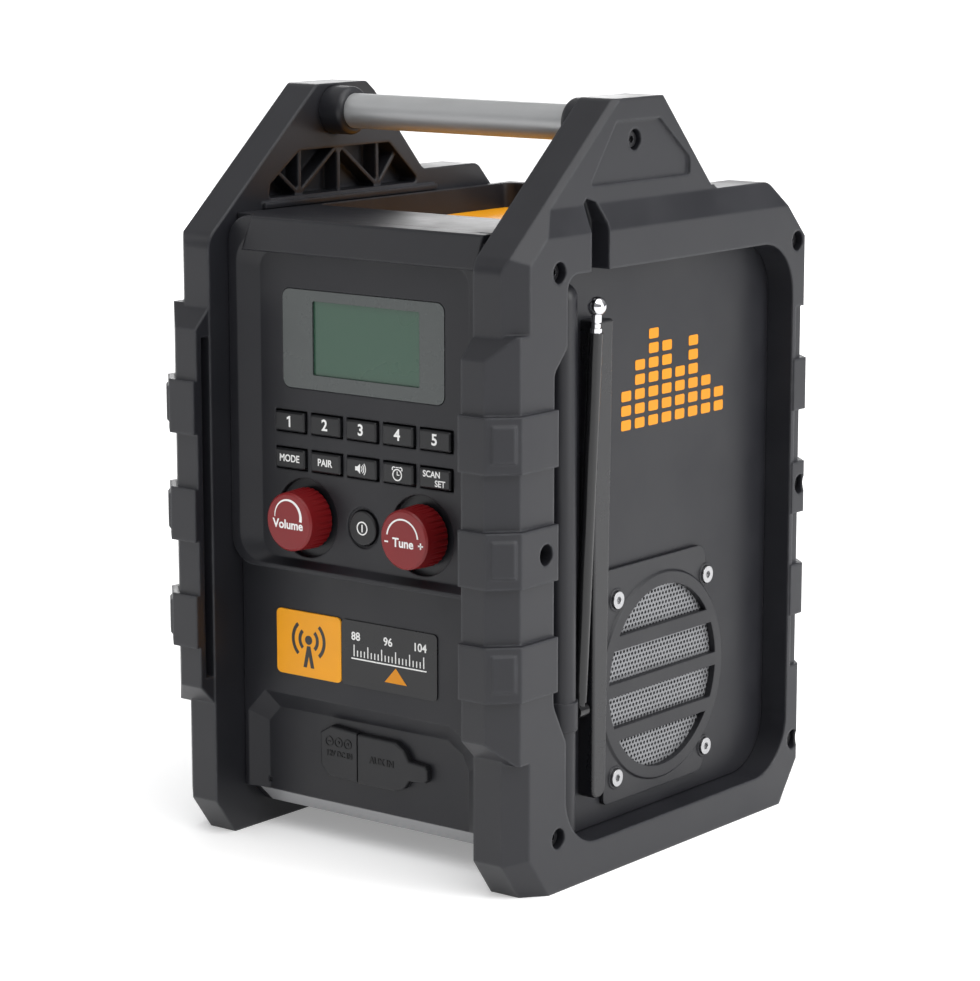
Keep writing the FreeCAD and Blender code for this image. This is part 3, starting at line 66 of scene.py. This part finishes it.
def surface(name, base, rough=0.5, metallic=0.0, spec=0.5, var=0.12, tone_scale=22.0,
            grain=2600.0, grain_size=0.00006, grain_strength=0.25, rough_var=0.08,
            edge=None, bevel=0.0007, coat=0.0, coat_rough=0.06, stretch=None, speckle=0.0):
    """A moulded or metal surface: toned colour, uneven gloss, fine texture and rounded edges, lightened partly as
    scuffing and partly as a painted highlight.
    """
    m, nt, bs = new_mat(name)
    tc = nt.nodes.new("ShaderNodeTexCoord")
    src = tc.outputs["Object"]
    if stretch:
        mp = nt.nodes.new("ShaderNodeMapping")
        mp.inputs["Scale"].default_value = stretch
        nt.links.new(src, mp.inputs["Vector"])
        fine_src = mp.outputs["Vector"]
    else:
        fine_src = src
    tone = nt.nodes.new("ShaderNodeTexNoise")
    tone.inputs["Scale"].default_value = tone_scale
    tone.inputs["Detail"].default_value = 5.0
    tone.inputs["Roughness"].default_value = 0.62
    nt.links.new(src, tone.inputs["Vector"])
    lo = [c * (1 - var) for c in base]
    hi = [min(1.0, c * (1 + var)) for c in base]
    cr = ramp(nt, lo, hi)
    nt.links.new(tone.outputs["Fac"], cr.inputs["Fac"])
    colour = cr.outputs["Color"]
    # fine moulded grain
    gr = nt.nodes.new("ShaderNodeTexNoise")
    gr.inputs["Scale"].default_value = grain
    gr.inputs["Detail"].default_value = 2.0
    nt.links.new(fine_src, gr.inputs["Vector"])
    # rounded edges, lightened in colour: partly scuffing, partly a painted highlight
    bv = nt.nodes.new("ShaderNodeBevel")
    bv.samples = 4
    bv.inputs["Radius"].default_value = bevel
    geo = nt.nodes.new("ShaderNodeNewGeometry")
    dot = nt.nodes.new("ShaderNodeVectorMath")
    dot.operation = "DOT_PRODUCT"
    nt.links.new(bv.outputs["Normal"], dot.inputs[0])
    nt.links.new(geo.outputs["Normal"], dot.inputs[1])
    scuff_and_highlight_mask = nt.nodes.new("ShaderNodeMapRange")
    scuff_and_highlight_mask.inputs["From Min"].default_value = 0.995
    scuff_and_highlight_mask.inputs["From Max"].default_value = 0.80
    scuff_and_highlight_mask.inputs["To Min"].default_value = 0.0
    scuff_and_highlight_mask.inputs["To Max"].default_value = 1.0
    nt.links.new(dot.outputs["Value"], scuff_and_highlight_mask.inputs["Value"])
    # the edge colour mixed in here is lighter than the base: partly scuffing, partly a painted highlight along the
    # edges
    if edge:
        scuff_and_highlight_noise = nt.nodes.new("ShaderNodeTexNoise")
        scuff_and_highlight_noise.inputs["Scale"].default_value = 140.0
        scuff_and_highlight_noise.inputs["Detail"].default_value = 4.0
        nt.links.new(src, scuff_and_highlight_noise.inputs["Vector"])
        mul = nt.nodes.new("ShaderNodeMath")
        mul.operation = "MULTIPLY"
        nt.links.new(scuff_and_highlight_mask.outputs["Result"], mul.inputs[0])
        nt.links.new(scuff_and_highlight_noise.outputs["Fac"], mul.inputs[1])
        mix = nt.nodes.new("ShaderNodeMix")
        mix.data_type = "RGBA"
        nt.links.new(mul.outputs["Value"], mix.inputs["Factor"])
        nt.links.new(colour, mix.inputs["A"])
        scuff_and_highlight_ramp = ramp(nt, [c * 0.8 for c in edge], edge)
        nt.links.new(scuff_and_highlight_noise.outputs["Fac"], scuff_and_highlight_ramp.inputs["Fac"])
        nt.links.new(scuff_and_highlight_ramp.outputs["Color"], mix.inputs["B"])
        colour = mix.outputs["Result"]
    if speckle:
        sp = nt.nodes.new("ShaderNodeMix")
        sp.data_type = "RGBA"
        sr = nt.nodes.new("ShaderNodeMapRange")
        sr.inputs["From Min"].default_value = 0.35
        sr.inputs["From Max"].default_value = 0.72
        sr.inputs["To Min"].default_value = 0.0
        sr.inputs["To Max"].default_value = speckle
        nt.links.new(gr.outputs["Fac"], sr.inputs["Value"])
        nt.links.new(sr.outputs["Result"], sp.inputs["Factor"])
        nt.links.new(colour, sp.inputs["A"])
        lr = ramp(nt, [c * 1.8 + 0.004 for c in base], [c * 2.4 + 0.006 for c in base])
        nt.links.new(tone.outputs["Fac"], lr.inputs["Fac"])
        nt.links.new(lr.outputs["Color"], sp.inputs["B"])
        colour = sp.outputs["Result"]
    nt.links.new(colour, bs.inputs["Base Color"])
    rr = nt.nodes.new("ShaderNodeMapRange")
    rr.inputs["From Min"].default_value = 0.3
    rr.inputs["From Max"].default_value = 0.7
    rr.inputs["To Min"].default_value = max(0.02, rough - rough_var)
    rr.inputs["To Max"].default_value = min(1.0, rough + rough_var)
    nt.links.new(tone.outputs["Fac"], rr.inputs["Value"])
    nt.links.new(rr.outputs["Result"], bs.inputs["Roughness"])
    bp = nt.nodes.new("ShaderNodeBump")
    bp.inputs["Strength"].default_value = grain_strength
    bp.inputs["Distance"].default_value = grain_size
    nt.links.new(gr.outputs["Fac"], bp.inputs["Height"])
    nt.links.new(bv.outputs["Normal"], bp.inputs["Normal"])
    nt.links.new(bp.outputs["Normal"], bs.inputs["Normal"])
    bs.inputs["Metallic"].default_value = metallic
    bs.inputs["Specular IOR Level"].default_value = spec
    bs.inputs["Coat Weight"].default_value = coat
    bs.inputs["Coat Roughness"].default_value = coat_rough
    return m


CHAR = (0.0098, 0.0100, 0.0128)
# edge= colours, lighter than each base colour, are partly scuffing and partly a painted highlight along the edges
MATS = {
    "frame_plastic": surface("frame plastic", (0.0112, 0.0115, 0.0145), 0.40, spec=0.42, edge=(0.060, 0.062, 0.072), bevel=0.0018, speckle=0.12, grain_strength=0.2),
    "body_plastic": surface("body plastic", CHAR, 0.42, spec=0.36, edge=(0.055, 0.056, 0.064), bevel=0.0012, speckle=0.10, grain_strength=0.2),
    "grille_plastic": surface("grille plastic", (0.0100, 0.0102, 0.0125), 0.40, spec=0.40, edge=(0.055, 0.056, 0.064), bevel=0.0008, speckle=0.08),
    "panel_yellow": surface("yellow panel", (0.82, 0.335, 0.003), 0.38, spec=0.35, var=0.05, edge=(0.93, 0.50, 0.05), bevel=0.0005, grain_strength=0.12),
    "badge_dark": surface("badge plate", (0.0085, 0.0086, 0.0098), 0.30, spec=0.40, edge=(0.04, 0.04, 0.044), bevel=0.0003, grain_strength=0.08),
    "tube_aluminium": surface("brushed tube", (0.43, 0.435, 0.44), 0.46, metallic=0.6, var=0.06, grain=900.0, grain_size=0.00004, grain_strength=0.3, stretch=(0.03, 1.0, 1.0), bevel=0.0004),
    # near-black screw colour is painted shade for the dark screw holes; the lighter edge colour is a painted highlight
    "screw_steel": surface("screw steel", (0.018, 0.018, 0.020), 0.30, metallic=0.5, edge=(0.20, 0.20, 0.22), bevel=0.0003, grain_size=0.00003),
    "pin_steel": surface("pin steel", (0.46, 0.46, 0.47), 0.28, metallic=1.0, edge=(0.75, 0.75, 0.76), bevel=0.0003, grain_size=0.00002),
    "seal_rubber": surface("seal rubber", (0.008, 0.008, 0.009), 0.75, spec=0.3, bevel=0.0003),
    "flap_rubber": surface("flap rubber", (0.0125, 0.0127, 0.0145), 0.48, spec=0.38, edge=(0.05, 0.05, 0.055), bevel=0.0008, grain_strength=0.3),
    "lens_clear": surface("window border", (0.036, 0.044, 0.043), 0.28, spec=0.45, var=0.03, coat=0.35, coat_rough=0.04, bevel=0.0003, grain_strength=0.04),
    "lcd_green": surface("display", (0.024, 0.072, 0.044), 0.30, spec=0.4, var=0.05, tone_scale=9.0, coat=0.25, coat_rough=0.05, bevel=0.0002, grain_strength=0.03),
    "key_plastic": surface("key plastic", (0.0065, 0.0067, 0.0080), 0.36, spec=0.40, edge=(0.045, 0.046, 0.052), bevel=0.0005, grain_strength=0.15),
    "knob_red": surface("knob red", (0.185, 0.0065, 0.0085), 0.40, spec=0.38, var=0.08, edge=(0.34, 0.03, 0.03), bevel=0.0004, grain_strength=0.15),
    "component_black": surface("component black", (0.008, 0.008, 0.008), 0.35, bevel=0.0002),
    "board_green": surface("board", (0.01, 0.11, 0.04), 0.35, var=0.1, bevel=0.0002),
    "heat_sink": surface("heat sink", (0.25, 0.25, 0.26), 0.45, metallic=1.0, bevel=0.0002),
    "mesh_grey": surface("speaker mesh", (0.21, 0.213, 0.222), 0.40, metallic=0.3, spec=0.5, var=0.10, tone_scale=60.0, bevel=0.00015, grain_strength=0.1),
    "driver_black": surface("driver", (0.005, 0.005, 0.0055), 0.6, bevel=0.0003),
    "antenna_black": surface("antenna sleeve", (0.0045, 0.0045, 0.0052), 0.22, spec=0.5, var=0.05, bevel=0.0003, grain_strength=0.05, edge=(0.04, 0.04, 0.045)),
    "antenna_chrome": surface("antenna chrome", (0.70, 0.70, 0.72), 0.08, metallic=1.0, var=0.03, rough_var=0.03, bevel=0.0002, grain_size=0.00001, grain_strength=0.05),
    "pack_plastic": surface("pack plastic", (0.014, 0.014, 0.016), 0.5, edge=(0.06, 0.06, 0.065)),
    "contact_brass": surface("contact", (0.75, 0.50, 0.18), 0.3, metallic=1.0, bevel=0.0002),
}
GUARD = surface("guard blade", (0.0065, 0.0067, 0.0082), 0.27, spec=0.5, var=0.08, edge=(0.05, 0.052, 0.06), bevel=0.0012, grain_strength=0.12)
# light grey colour: a painted reflection of the bright floor on the downward-sloping lower face of the bezel
PAINTED_FLOOR_REFLECTION = surface("painted floor reflection", (0.26, 0.262, 0.27), 0.38, spec=0.45, var=0.05, edge=(0.36, 0.36, 0.37), bevel=0.0003, grain_strength=0.15)
LEGEND = surface("legend white", (0.78, 0.78, 0.77), 0.45, var=0.05, bevel=0.00005, grain_strength=0.1)
LEGEND_BLACK = surface("legend black", (0.014, 0.013, 0.012), 0.4, var=0.1, bevel=0.00005, grain_strength=0.1)
MARK_YELLOW = surface("mark yellow", (0.66, 0.245, 0.002), 0.42, spec=0.3, var=0.05, bevel=0.0001, grain_strength=0.1)

SLOT = {}
for sp_ in frame["record"]["subparts"]:
    SLOT[sp_["node"]] = sp_["material_slot"]
for name, ob in NODES.items():
    if ob.type != "MESH":
        continue
    ob.data.materials.clear()
    ob.data.materials.append(GUARD if name == "antenna_guard" else MATS[SLOT[name]])


# ------------------------------------------------------------- mesh building
class Plane:
    """A flat place to draw on: millimetre u and v, and n out of the surface."""
    def __init__(self, origin, u, v, n):
        self.o, self.u, self.v, self.n = Vector(origin), Vector(u), Vector(v), Vector(n)

    def matrix(self, x, y, h):
        m = Matrix.Identity(4)
        for c, vec in enumerate((self.u, self.v, self.n)):
            for r in range(3):
                m[r][c] = vec[r] * MM
        p = (self.o + self.u * x + self.v * y + self.n * h) * MM
        for r in range(3):
            m[r][3] = p[r]
        return m


def front(x, y, z):
    return Plane((x, y, z), (1, 0, 0), (0, 0, 1), (0, -1, 0))


def right(x, y, z):
    return Plane((x, y, z), (0, 1, 0), (0, 0, 1), (1, 0, 0))


def left(x, y, z):
    return Plane((x, y, z), (0, -1, 0), (0, 0, 1), (-1, 0, 0))


def settle(tmp, name, matrix, mat):
    """Turn a curve or text object into a mesh object in the row frame."""
    bpy.context.scene.collection.objects.link(tmp)
    bpy.context.view_layer.update()
    dg = bpy.context.evaluated_depsgraph_get()
    me = bpy.data.meshes.new_from_object(tmp.evaluated_get(dg))
    data = tmp.data
    bpy.data.objects.remove(tmp)
    bpy.data.curves.remove(data)
    me.transform(matrix)
    me.name = name
    me.materials.clear()
    me.materials.append(mat)
    ob = bpy.data.objects.new(name, me)
    bpy.context.scene.collection.objects.link(ob)
    return ob


def shapes(name, loops, plane, x, y, h, thick, mat):
    """Flat figures with holes: each loop is a list of (u, v) points; even-odd filled, with a thickness."""
    cu = bpy.data.curves.new(name, "CURVE")
    cu.dimensions = "2D"
    cu.fill_mode = "BOTH"
    cu.extrude = thick / 2
    for lp in loops:
        s = cu.splines.new("POLY")
        s.points.add(len(lp) - 1)
        for i, (a, b) in enumerate(lp):
            s.points[i].co = (a, b, 0, 1)
        s.use_cyclic_u = True
    return settle(bpy.data.objects.new(name, cu), name, plane.matrix(x, y, h + thick / 2), mat)


def text(name, body, size, plane, x, y, h, thick, mat, bold=0.0, squeeze=1.0):
    cu = bpy.data.curves.new(name, "FONT")
    cu.body = body
    cu.size = size
    cu.align_x = "CENTER"
    cu.align_y = "CENTER"
    cu.extrude = thick / 2
    cu.offset = bold
    cu.resolution_u = 4
    m = plane.matrix(x, y, h + thick / 2) @ Matrix.Diagonal((squeeze, 1.0, 1.0, 1.0))
    return settle(bpy.data.objects.new(name, cu), name, m, mat)


def arc_band(cx, cy, r, a0, a1, w0, w1=None, n=28):
    """Closed outline of an arc stroke whose width runs from w0 to w1."""
    w1 = w0 if w1 is None else w1
    outer, inner = [], []
    for i in range(n + 1):
        t = i / n
        a = math.radians(a0 + (a1 - a0) * t)
        w = (w0 + (w1 - w0) * t) / 2
        outer.append((cx + (r + w) * math.cos(a), cy + (r + w) * math.sin(a)))
        inner.append((cx + (r - w) * math.cos(a), cy + (r - w) * math.sin(a)))
    return outer + inner[::-1]


def circle(cx, cy, r, n=40):
    return [(cx + r * math.cos(2 * math.pi * i / n), cy + r * math.sin(2 * math.pi * i / n)) for i in range(n)]


def rect(x0, y0, x1, y1):
    return [(x0, y0), (x1, y0), (x1, y1), (x0, y1)]


def rrect(x0, y0, x1, y1, r, n=8):
    pts = []
    for cx, cy, a in ((x1 - r, y1 - r, 0), (x0 + r, y1 - r, 90), (x0 + r, y0 + r, 180), (x1 - r, y0 + r, 270)):
        for i in range(n + 1):
            t = math.radians(a + 90.0 * i / n)
            pts.append((cx + r * math.cos(t), cy + r * math.sin(t)))
    return pts


def go(ob, body):
    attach(ob, body)
    return ob


# ------------------------------------------------------------ display window
LZ = 232.4
P = front(0, -91.1, 0)
border = shapes("display_border", [rrect(-46.0, LZ - 22.1, 46.0, LZ + 22.1, 4.0), rrect(-28.6, 216.8, 32.3, 249.8, 0.8)],
                P, 0, 0, -0.9, 1.1, MATS["lens_clear"])
go(border, "root")
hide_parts("lcd_lens")
disp = shapes("display_glass", [rect(-29.2, 216.2, 32.9, 250.4)], P, 0, 0, -1.15, 0.35, MATS["lcd_green"])
go(disp, "root")

# ---------------------------------------------------------------- key legends
KX = {"key_1": -41.6, "key_2": -20.8, "key_3": 0.0, "key_4": 20.8, "key_5": 41.6,
      "key_mode": -41.6, "key_pair": -20.8, "key_sound": 0.0, "key_alarm": 20.8, "key_scan": 41.6}
KZ = {k: (194.8 if k[-1] in "12345" else 178.0) for k in KX}
KF = -92.8


def keyplane(k):
    return front(KX[k], KF, KZ[k])


go(shapes("figure_1", [[(0.75, -2.45), (0.75, 2.6), (0.05, 2.6), (-1.25, 1.75), (-1.25, 0.85), (-0.15, 1.4), (-0.15, -2.45)]],
          keyplane("key_1"), 0, 0.1, 0.01, 0.06, LEGEND), "key_1")
for i in range(2, 6):
    k = "key_%d" % i
    go(text("figure_%d" % i, str(i), 7.0, keyplane(k), 0, 0.2, 0.01, 0.06, LEGEND, bold=0.16), k)
go(text("word_mode", "MODE", 4.5, keyplane("key_mode"), 0, 0.1, 0.01, 0.06, LEGEND, bold=0.10, squeeze=0.92), "key_mode")
go(text("word_pair", "PAIR", 4.5, keyplane("key_pair"), 0, 0.1, 0.01, 0.06, LEGEND, bold=0.10, squeeze=0.92), "key_pair")
go(text("word_scan", "SCAN", 3.9, keyplane("key_scan"), -1.6, 1.9, 0.01, 0.06, LEGEND, bold=0.09, squeeze=0.95), "key_scan")
go(text("word_set", "SET", 3.9, keyplane("key_scan"), 3.1, -2.0, 0.01, 0.06, LEGEND, bold=0.09, squeeze=0.95), "key_scan")
# loudspeaker with waves
go(shapes("icon_sound", [[(-3.1, -0.9), (-1.9, -0.9), (-0.3, -2.2), (-0.3, 2.2), (-1.9, 0.9), (-3.1, 0.9)],
                         arc_band(-0.9, 0, 1.7, -42, 42, 0.45), arc_band(-0.9, 0, 2.7, -42, 42, 0.45), arc_band(-0.9, 0, 3.7, -42, 42, 0.45)],
          keyplane("key_sound"), 0, 0, 0.01, 0.06, LEGEND), "key_sound")
# alarm clock: dial, hands, two bells and feet
go(shapes("icon_alarm", [circle(0, -0.4, 2.7), circle(0, -0.4, 2.15),
                         rect(-0.2, -0.6, 0.22, 1.2), rect(0.22, -0.6, 1.25, -0.18),
                         arc_band(-1.9, 2.15, 0.85, 45, 225, 0.5), arc_band(1.9, 2.15, 0.85, -45, 135, 0.5),
                         rect(-0.9, 2.7, 0.9, 3.1)],
          keyplane("key_alarm"), 0, 0, 0.01, 0.06, LEGEND), "key_alarm")
# power symbol
go(shapes("icon_power", [circle(0, 0, 3.1), circle(0, 0, 2.5), rect(-0.34, -1.7, 0.34, 1.7)],
          front(0, -92.1, 151.2), 0, 0, 0.01, 0.06, LEGEND), "power_button")

# ---------------------------------------------------------------------- knobs
KFACE = -91.1 - 12.6
VP, TP = front(-33.0, KFACE, 151.8), front(33.0, KFACE, 151.8)
go(text("word_volume", "Volume", 5.6, VP, -0.3, -1.2, 0.01, 0.06, LEGEND, bold=0.14, squeeze=1.0), "volume_control")
go(shapes("arc_volume", [arc_band(-0.4, 2.4, 7.6, 184, -12, 0.35, 1.5)], VP, 0, 0, 0.01, 0.06, LEGEND), "volume_control")
go(text("word_tune", "Tune", 5.6, TP, -0.2, -1.6, 0.01, 0.06, LEGEND, bold=0.14), "tune_control")
go(shapes("arc_tune", [arc_band(-0.6, 0.4, 8.6, 172, 6, 0.75), rect(-10.6, -1.9, -8.5, -1.2),
                       rect(8.2, -1.9, 11.0, -1.2), rect(9.25, -2.95, 9.95, -0.15)], TP, 0, 0, 0.01, 0.06, LEGEND), "tune_control")

# ------------------------------------------------------------- label area
TILE = front(-34.3, -89.4, 93.0)
go(shapes("tile_waves", [circle(0, 2.2, 2.1), arc_band(0, 2.2, 5.2, -48, 48, 1.7), arc_band(0, 2.2, 9.2, -48, 48, 1.7),
                         arc_band(0, 2.2, 5.2, 132, 228, 1.7), arc_band(0, 2.2, 9.2, 132, 228, 1.7),
                         [(-1.0, -0.6), (1.0, -0.6), (3.2, -10.6), (1.2, -10.6), (0, -5.2), (-1.2, -10.6), (-3.2, -10.6)]],
          TILE, 0, 0, 0.01, 0.08, LEGEND_BLACK), "root")
SCALE = front(12.4, -89.2, 93.0)
marks = []
for i in range(21):
    x = -20.0 + i * 2.0
    tall = 5.2 if i % 4 == 0 else 2.8
    marks.append(rect(x - 0.28, -1.2, x + 0.28, -1.2 + tall))
marks.append(rect(-21.6, -2.6, 21.6, -2.0))
go(shapes("scale_marks", marks, SCALE, 0, 0, 0.01, 0.08, LEGEND), "root")
for i, w in enumerate(("88", "96", "104")):
    go(text("scale_figure_%s" % w, w, 5.2, SCALE, -20.0 + 20.0 * i * 0.98 + (1.0 if i == 0 else (-1.4 if i == 2 else 0)), 7.8, 0.01, 0.08, LEGEND, bold=0.10), "root")
go(shapes("scale_pointer", [[(-6.4, -10.4), (6.4, -10.4), (0.0, -3.4)]], SCALE, 4.0, 0, 0.01, 0.08, MARK_YELLOW), "root")

# ------------------------------------------------------- side panel motif
BARS = [3, 5, 7, 6, 4, 6, 3, 2]


def level_bars():
    out = []
    w, gap, hgt, vg = 7.4, 3.0, 4.6, 1.9
    for i, n in enumerate(BARS):
        x0 = i * (w + gap)
        for j in range(n):
            y0 = j * (hgt + vg)
            out.append(rrect(x0, y0, x0 + w, y0 + hgt, 0.9, 3))
    return out


go(shapes("level_bars_right", level_bars(), right(84.7, -15.0, 193.0), 0, 0, 0.0, 0.12, MARK_YELLOW), "root")
go(shapes("level_bars_left", level_bars(), left(-84.7, 65.0, 193.0), 0, 0, 0.0, 0.12, MARK_YELLOW), "root")

# ------------------------------------------------------ raised marks on flaps
RAISED = surface("raised rubber", (0.0045, 0.0045, 0.0050), 0.5, spec=0.35, bevel=0.0001, grain_strength=0.2)
DCP, AXP = front(-19.6, -86.3, 44.0), front(6.0, -86.3, 44.0)
ring_marks = []
for i in range(3):
    cx = -5.6 + 5.4 * i
    ring_marks += [circle(cx, 5.2, 2.35), circle(cx, 5.2, 1.85)]
    ring_marks.append(rect(cx - 0.9, 5.0, cx + 0.9, 5.4))
    if i != 0:
        ring_marks[-1] = circle(cx, 5.2, 0.7)
go(shapes("flap_rings", ring_marks, DCP, 0, 0, -0.02, 0.30, RAISED), "dc_flap")
go(text("flap_dc", "12V DC IN", 3.6, DCP, 0.2, -0.3, -0.02, 0.30, RAISED, bold=0.10, squeeze=0.92), "dc_flap")
go(text("flap_aux", "AUX IN", 4.2, AXP, -0.6, 0.2, -0.02, 0.30, RAISED, bold=0.12), "aux_flap")



# ------------------------------------------------ painted reflection of the bright floor on the sloped lower face
def strip(name, x0, x1, p0, p1, thick, mat):
    d = Vector((0, p1[0] - p0[0], p1[1] - p0[1])).normalized()
    n = Vector((0, d.z, -d.y))
    if n.z > 0:
        n = -n
    a, b = Vector((0, p0[0], p0[1])), Vector((0, p1[0], p1[1]))
    vs = []
    for x in (x0, x1):
        for q in (a, b, b + n * thick, a + n * thick):
            vs.append(((x) * MM, q.y * MM, q.z * MM))
    me = bpy.data.meshes.new(name)
    me.from_pydata(vs, [], [(0, 1, 2, 3), (7, 6, 5, 4), (0, 4, 5, 1), (1, 5, 6, 2), (2, 6, 7, 3), (3, 7, 4, 0)])
    me.update()
    bm = bmesh.new()
    bm.from_mesh(me)
    bmesh.ops.recalc_face_normals(bm, faces=bm.faces)
    bm.to_mesh(me)
    bm.free()
    me.materials.append(mat)
    ob = bpy.data.objects.new(name, me)
    bpy.context.scene.collection.objects.link(ob)
    return ob


# thin light grey strip along the bezel's bottom: a painted reflection of the floor, not a separate part
go(strip("painted_reflection_strip", -70.5, 70.5, (-82.6, 19.7), (-74.4, 11.85), 0.3, PAINTED_FLOOR_REFLECTION), "root")

# ------------------------------------------------------------- speaker meshes
def perforated(name, x0, x1, cy, cz, radius, pitch, hole, mat):
    """Round sheet with staggered round holes, built cell by cell."""
    bm = bmesh.new()
    seg = 12
    hexr = pitch / math.sqrt(3)
    rowh = pitch * math.sqrt(3) / 2
    n = int(radius / rowh) + 2
    for j in range(-n, n + 1):
        for i in range(-n - 2, n + 3):
            y = i * pitch + (pitch / 2 if j % 2 else 0.0)
            z = j * rowh
            d = math.hypot(y, z)
            if d > radius + hexr:
                continue
            cut = d + hexr > radius
            solid = d + hole + 0.25 > radius
            rings = []
            for x in (x0, x1):
                o_ring, i_ring = [], []
                for k in range(seg):
                    a = 2 * math.pi * k / seg + math.pi / 6
                    # hexagon outline sampled at the same angles
                    t = (a - math.pi / 6) % (math.pi / 3) - math.pi / 6
                    rr = hexr * math.cos(math.pi / 6) / math.cos(t)
                    oy, oz = y + rr * math.cos(a), z + rr * math.sin(a)
                    if cut:
                        dd = math.hypot(oy, oz)
                        if dd > radius:
                            oy, oz = oy * radius / dd, oz * radius / dd
                    o_ring.append(bm.verts.new((x * MM, (cy + oy) * MM, (cz + oz) * MM)))
                    if not solid:
                        i_ring.append(bm.verts.new((x * MM, (cy + y + hole * math.cos(a)) * MM, (cz + z + hole * math.sin(a)) * MM)))
                rings.append((o_ring, i_ring))
            for s, (o_ring, i_ring) in enumerate(rings):
                if solid:
                    f = o_ring if s == 1 else o_ring[::-1]
                    try:
                        bm.faces.new(f)
                    except ValueError:
                        pass
                    continue
                for k in range(seg):
                    k2 = (k + 1) % seg
                    q = [o_ring[k], o_ring[k2], i_ring[k2], i_ring[k]]
                    bm.faces.new(q if s == 1 else q[::-1])
            if not solid:
                a_r, b_r = rings[0][1], rings[1][1]
                for k in range(seg):
                    k2 = (k + 1) % seg
                    bm.faces.new([b_r[k], b_r[k2], a_r[k2], a_r[k]])
    bmesh.ops.remove_doubles(bm, verts=bm.verts, dist=0.00002)
    me = bpy.data.meshes.new(name)
    bm.to_mesh(me)
    bm.free()
    me.materials.append(mat)
    ob = bpy.data.objects.new(name, me)
    bpy.context.scene.collection.objects.link(ob)
    return ob


for side, sg in (("right", 1), ("left", -1)):
    xs = sorted((sg * 83.95, sg * 84.65))
    ms = perforated("speaker_screen_" + side, xs[0], xs[1], 15.0, 77.6, 43.2, 2.5, 0.80, MATS["mesh_grey"])
    go(ms, "root")
    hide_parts("speaker_mesh_" + side)

# ------------------------------------------------------------ floor and light
fl = bpy.data.meshes.new("floor")
fl.from_pydata([(-40, -40, 0), (40, -40, 0), (40, 40, 0), (-40, 40, 0)], [], [(0, 1, 2, 3)])
floor = bpy.data.objects.new("floor", fl)
bpy.context.scene.collection.objects.link(floor)
fm, fnt, fbs = new_mat("pale floor")
ftc = fnt.nodes.new("ShaderNodeTexCoord")
fno = fnt.nodes.new("ShaderNodeTexNoise")
fno.inputs["Scale"].default_value = 1.2
fnt.links.new(ftc.outputs["Object"], fno.inputs["Vector"])
fcr = ramp(fnt, (0.86, 0.86, 0.865), (0.90, 0.90, 0.90))
fnt.links.new(fno.outputs["Fac"], fcr.inputs["Fac"])
fnt.links.new(fcr.outputs["Color"], fbs.inputs["Base Color"])
fbs.inputs["Roughness"].default_value = 0.8
fbs.inputs["Emission Color"].default_value = (1.0, 1.0, 1.0, 1.0)
fbs.inputs["Emission Strength"].default_value = 0.28
fbs.inputs["Specular IOR Level"].default_value = 0.1
fl.materials.append(fm)

world = bpy.data.worlds.new("studio")
bpy.context.scene.world = world
world.use_nodes = True
wn = world.node_tree
for n_ in list(wn.nodes):
    wn.nodes.remove(n_)
wo = wn.nodes.new("ShaderNodeOutputWorld")
wb = wn.nodes.new("ShaderNodeBackground")
wt = wn.nodes.new("ShaderNodeTexCoord")
ws = wn.nodes.new("ShaderNodeSeparateXYZ")
wr = wn.nodes.new("ShaderNodeValToRGB")
wn.links.new(wt.outputs["Generated"], ws.inputs["Vector"])
wn.links.new(ws.outputs["Z"], wr.inputs["Fac"])
wr.color_ramp.elements[0].position = 0.0
wr.color_ramp.elements[0].color = (0.30, 0.31, 0.33, 1)
wr.color_ramp.elements[1].position = 0.7
wr.color_ramp.elements[1].color = (1.0, 1.0, 1.0, 1)
wn.links.new(wr.outputs["Color"], wb.inputs["Color"])
wb.inputs["Strength"].default_value = 0.50
wn.links.new(wb.outputs["Background"], wo.inputs["Surface"])


def area(name, loc, target, sx, sy, watts, colour=(1, 1, 1)):
    ld = bpy.data.lights.new(name, "AREA")
    ld.shape = "RECTANGLE"
    ld.size, ld.size_y = sx, sy
    ld.energy = watts
    ld.color = colour
    lo_ = bpy.data.objects.new(name, ld)
    lo_.location = loc
    d = Vector(target) - Vector(loc)
    lo_.rotation_euler = d.to_track_quat("-Z", "Y").to_euler()
    bpy.context.scene.collection.objects.link(lo_)
    return lo_


sun = bpy.data.lights.new("overhead", "SUN")
sun.energy = 2.5
sun.angle = 1.3
so = bpy.data.objects.new("overhead", sun)
so.rotation_euler = Vector((-0.42, 0.10, -1.0)).to_track_quat("-Z", "Y").to_euler()
bpy.context.scene.collection.objects.link(so)
area("right softbox", (2.3, 0.5, 0.9), (0, 0, 0.15), 1.0, 1.5, 34)
area("left softbox", (-2.3, -1.1, 1.0), (0, 0, 0.15), 0.9, 1.6, 9)
area("back softbox", (-1.9, 2.4, 0.9), (0, 0, 0.2), 1.6, 0.9, 16)

cam = bpy.data.cameras.new("camera")
cam.sensor_fit = "HORIZONTAL"
cam.sensor_width = 36.0
cam.lens = 119.8
cam.clip_end = 200.0
cam.dof.use_dof = False
co = bpy.data.objects.new("camera", cam)
co.location = (0.9113, -1.1709, 0.4308)
co.rotation_euler = (math.radians(90 - 10.54), 0.0, math.radians(37.9))
bpy.context.scene.collection.objects.link(co)
bpy.context.scene.camera = co
try:
    bpy.context.scene.view_settings.view_transform = "Standard"
except TypeError:
    pass
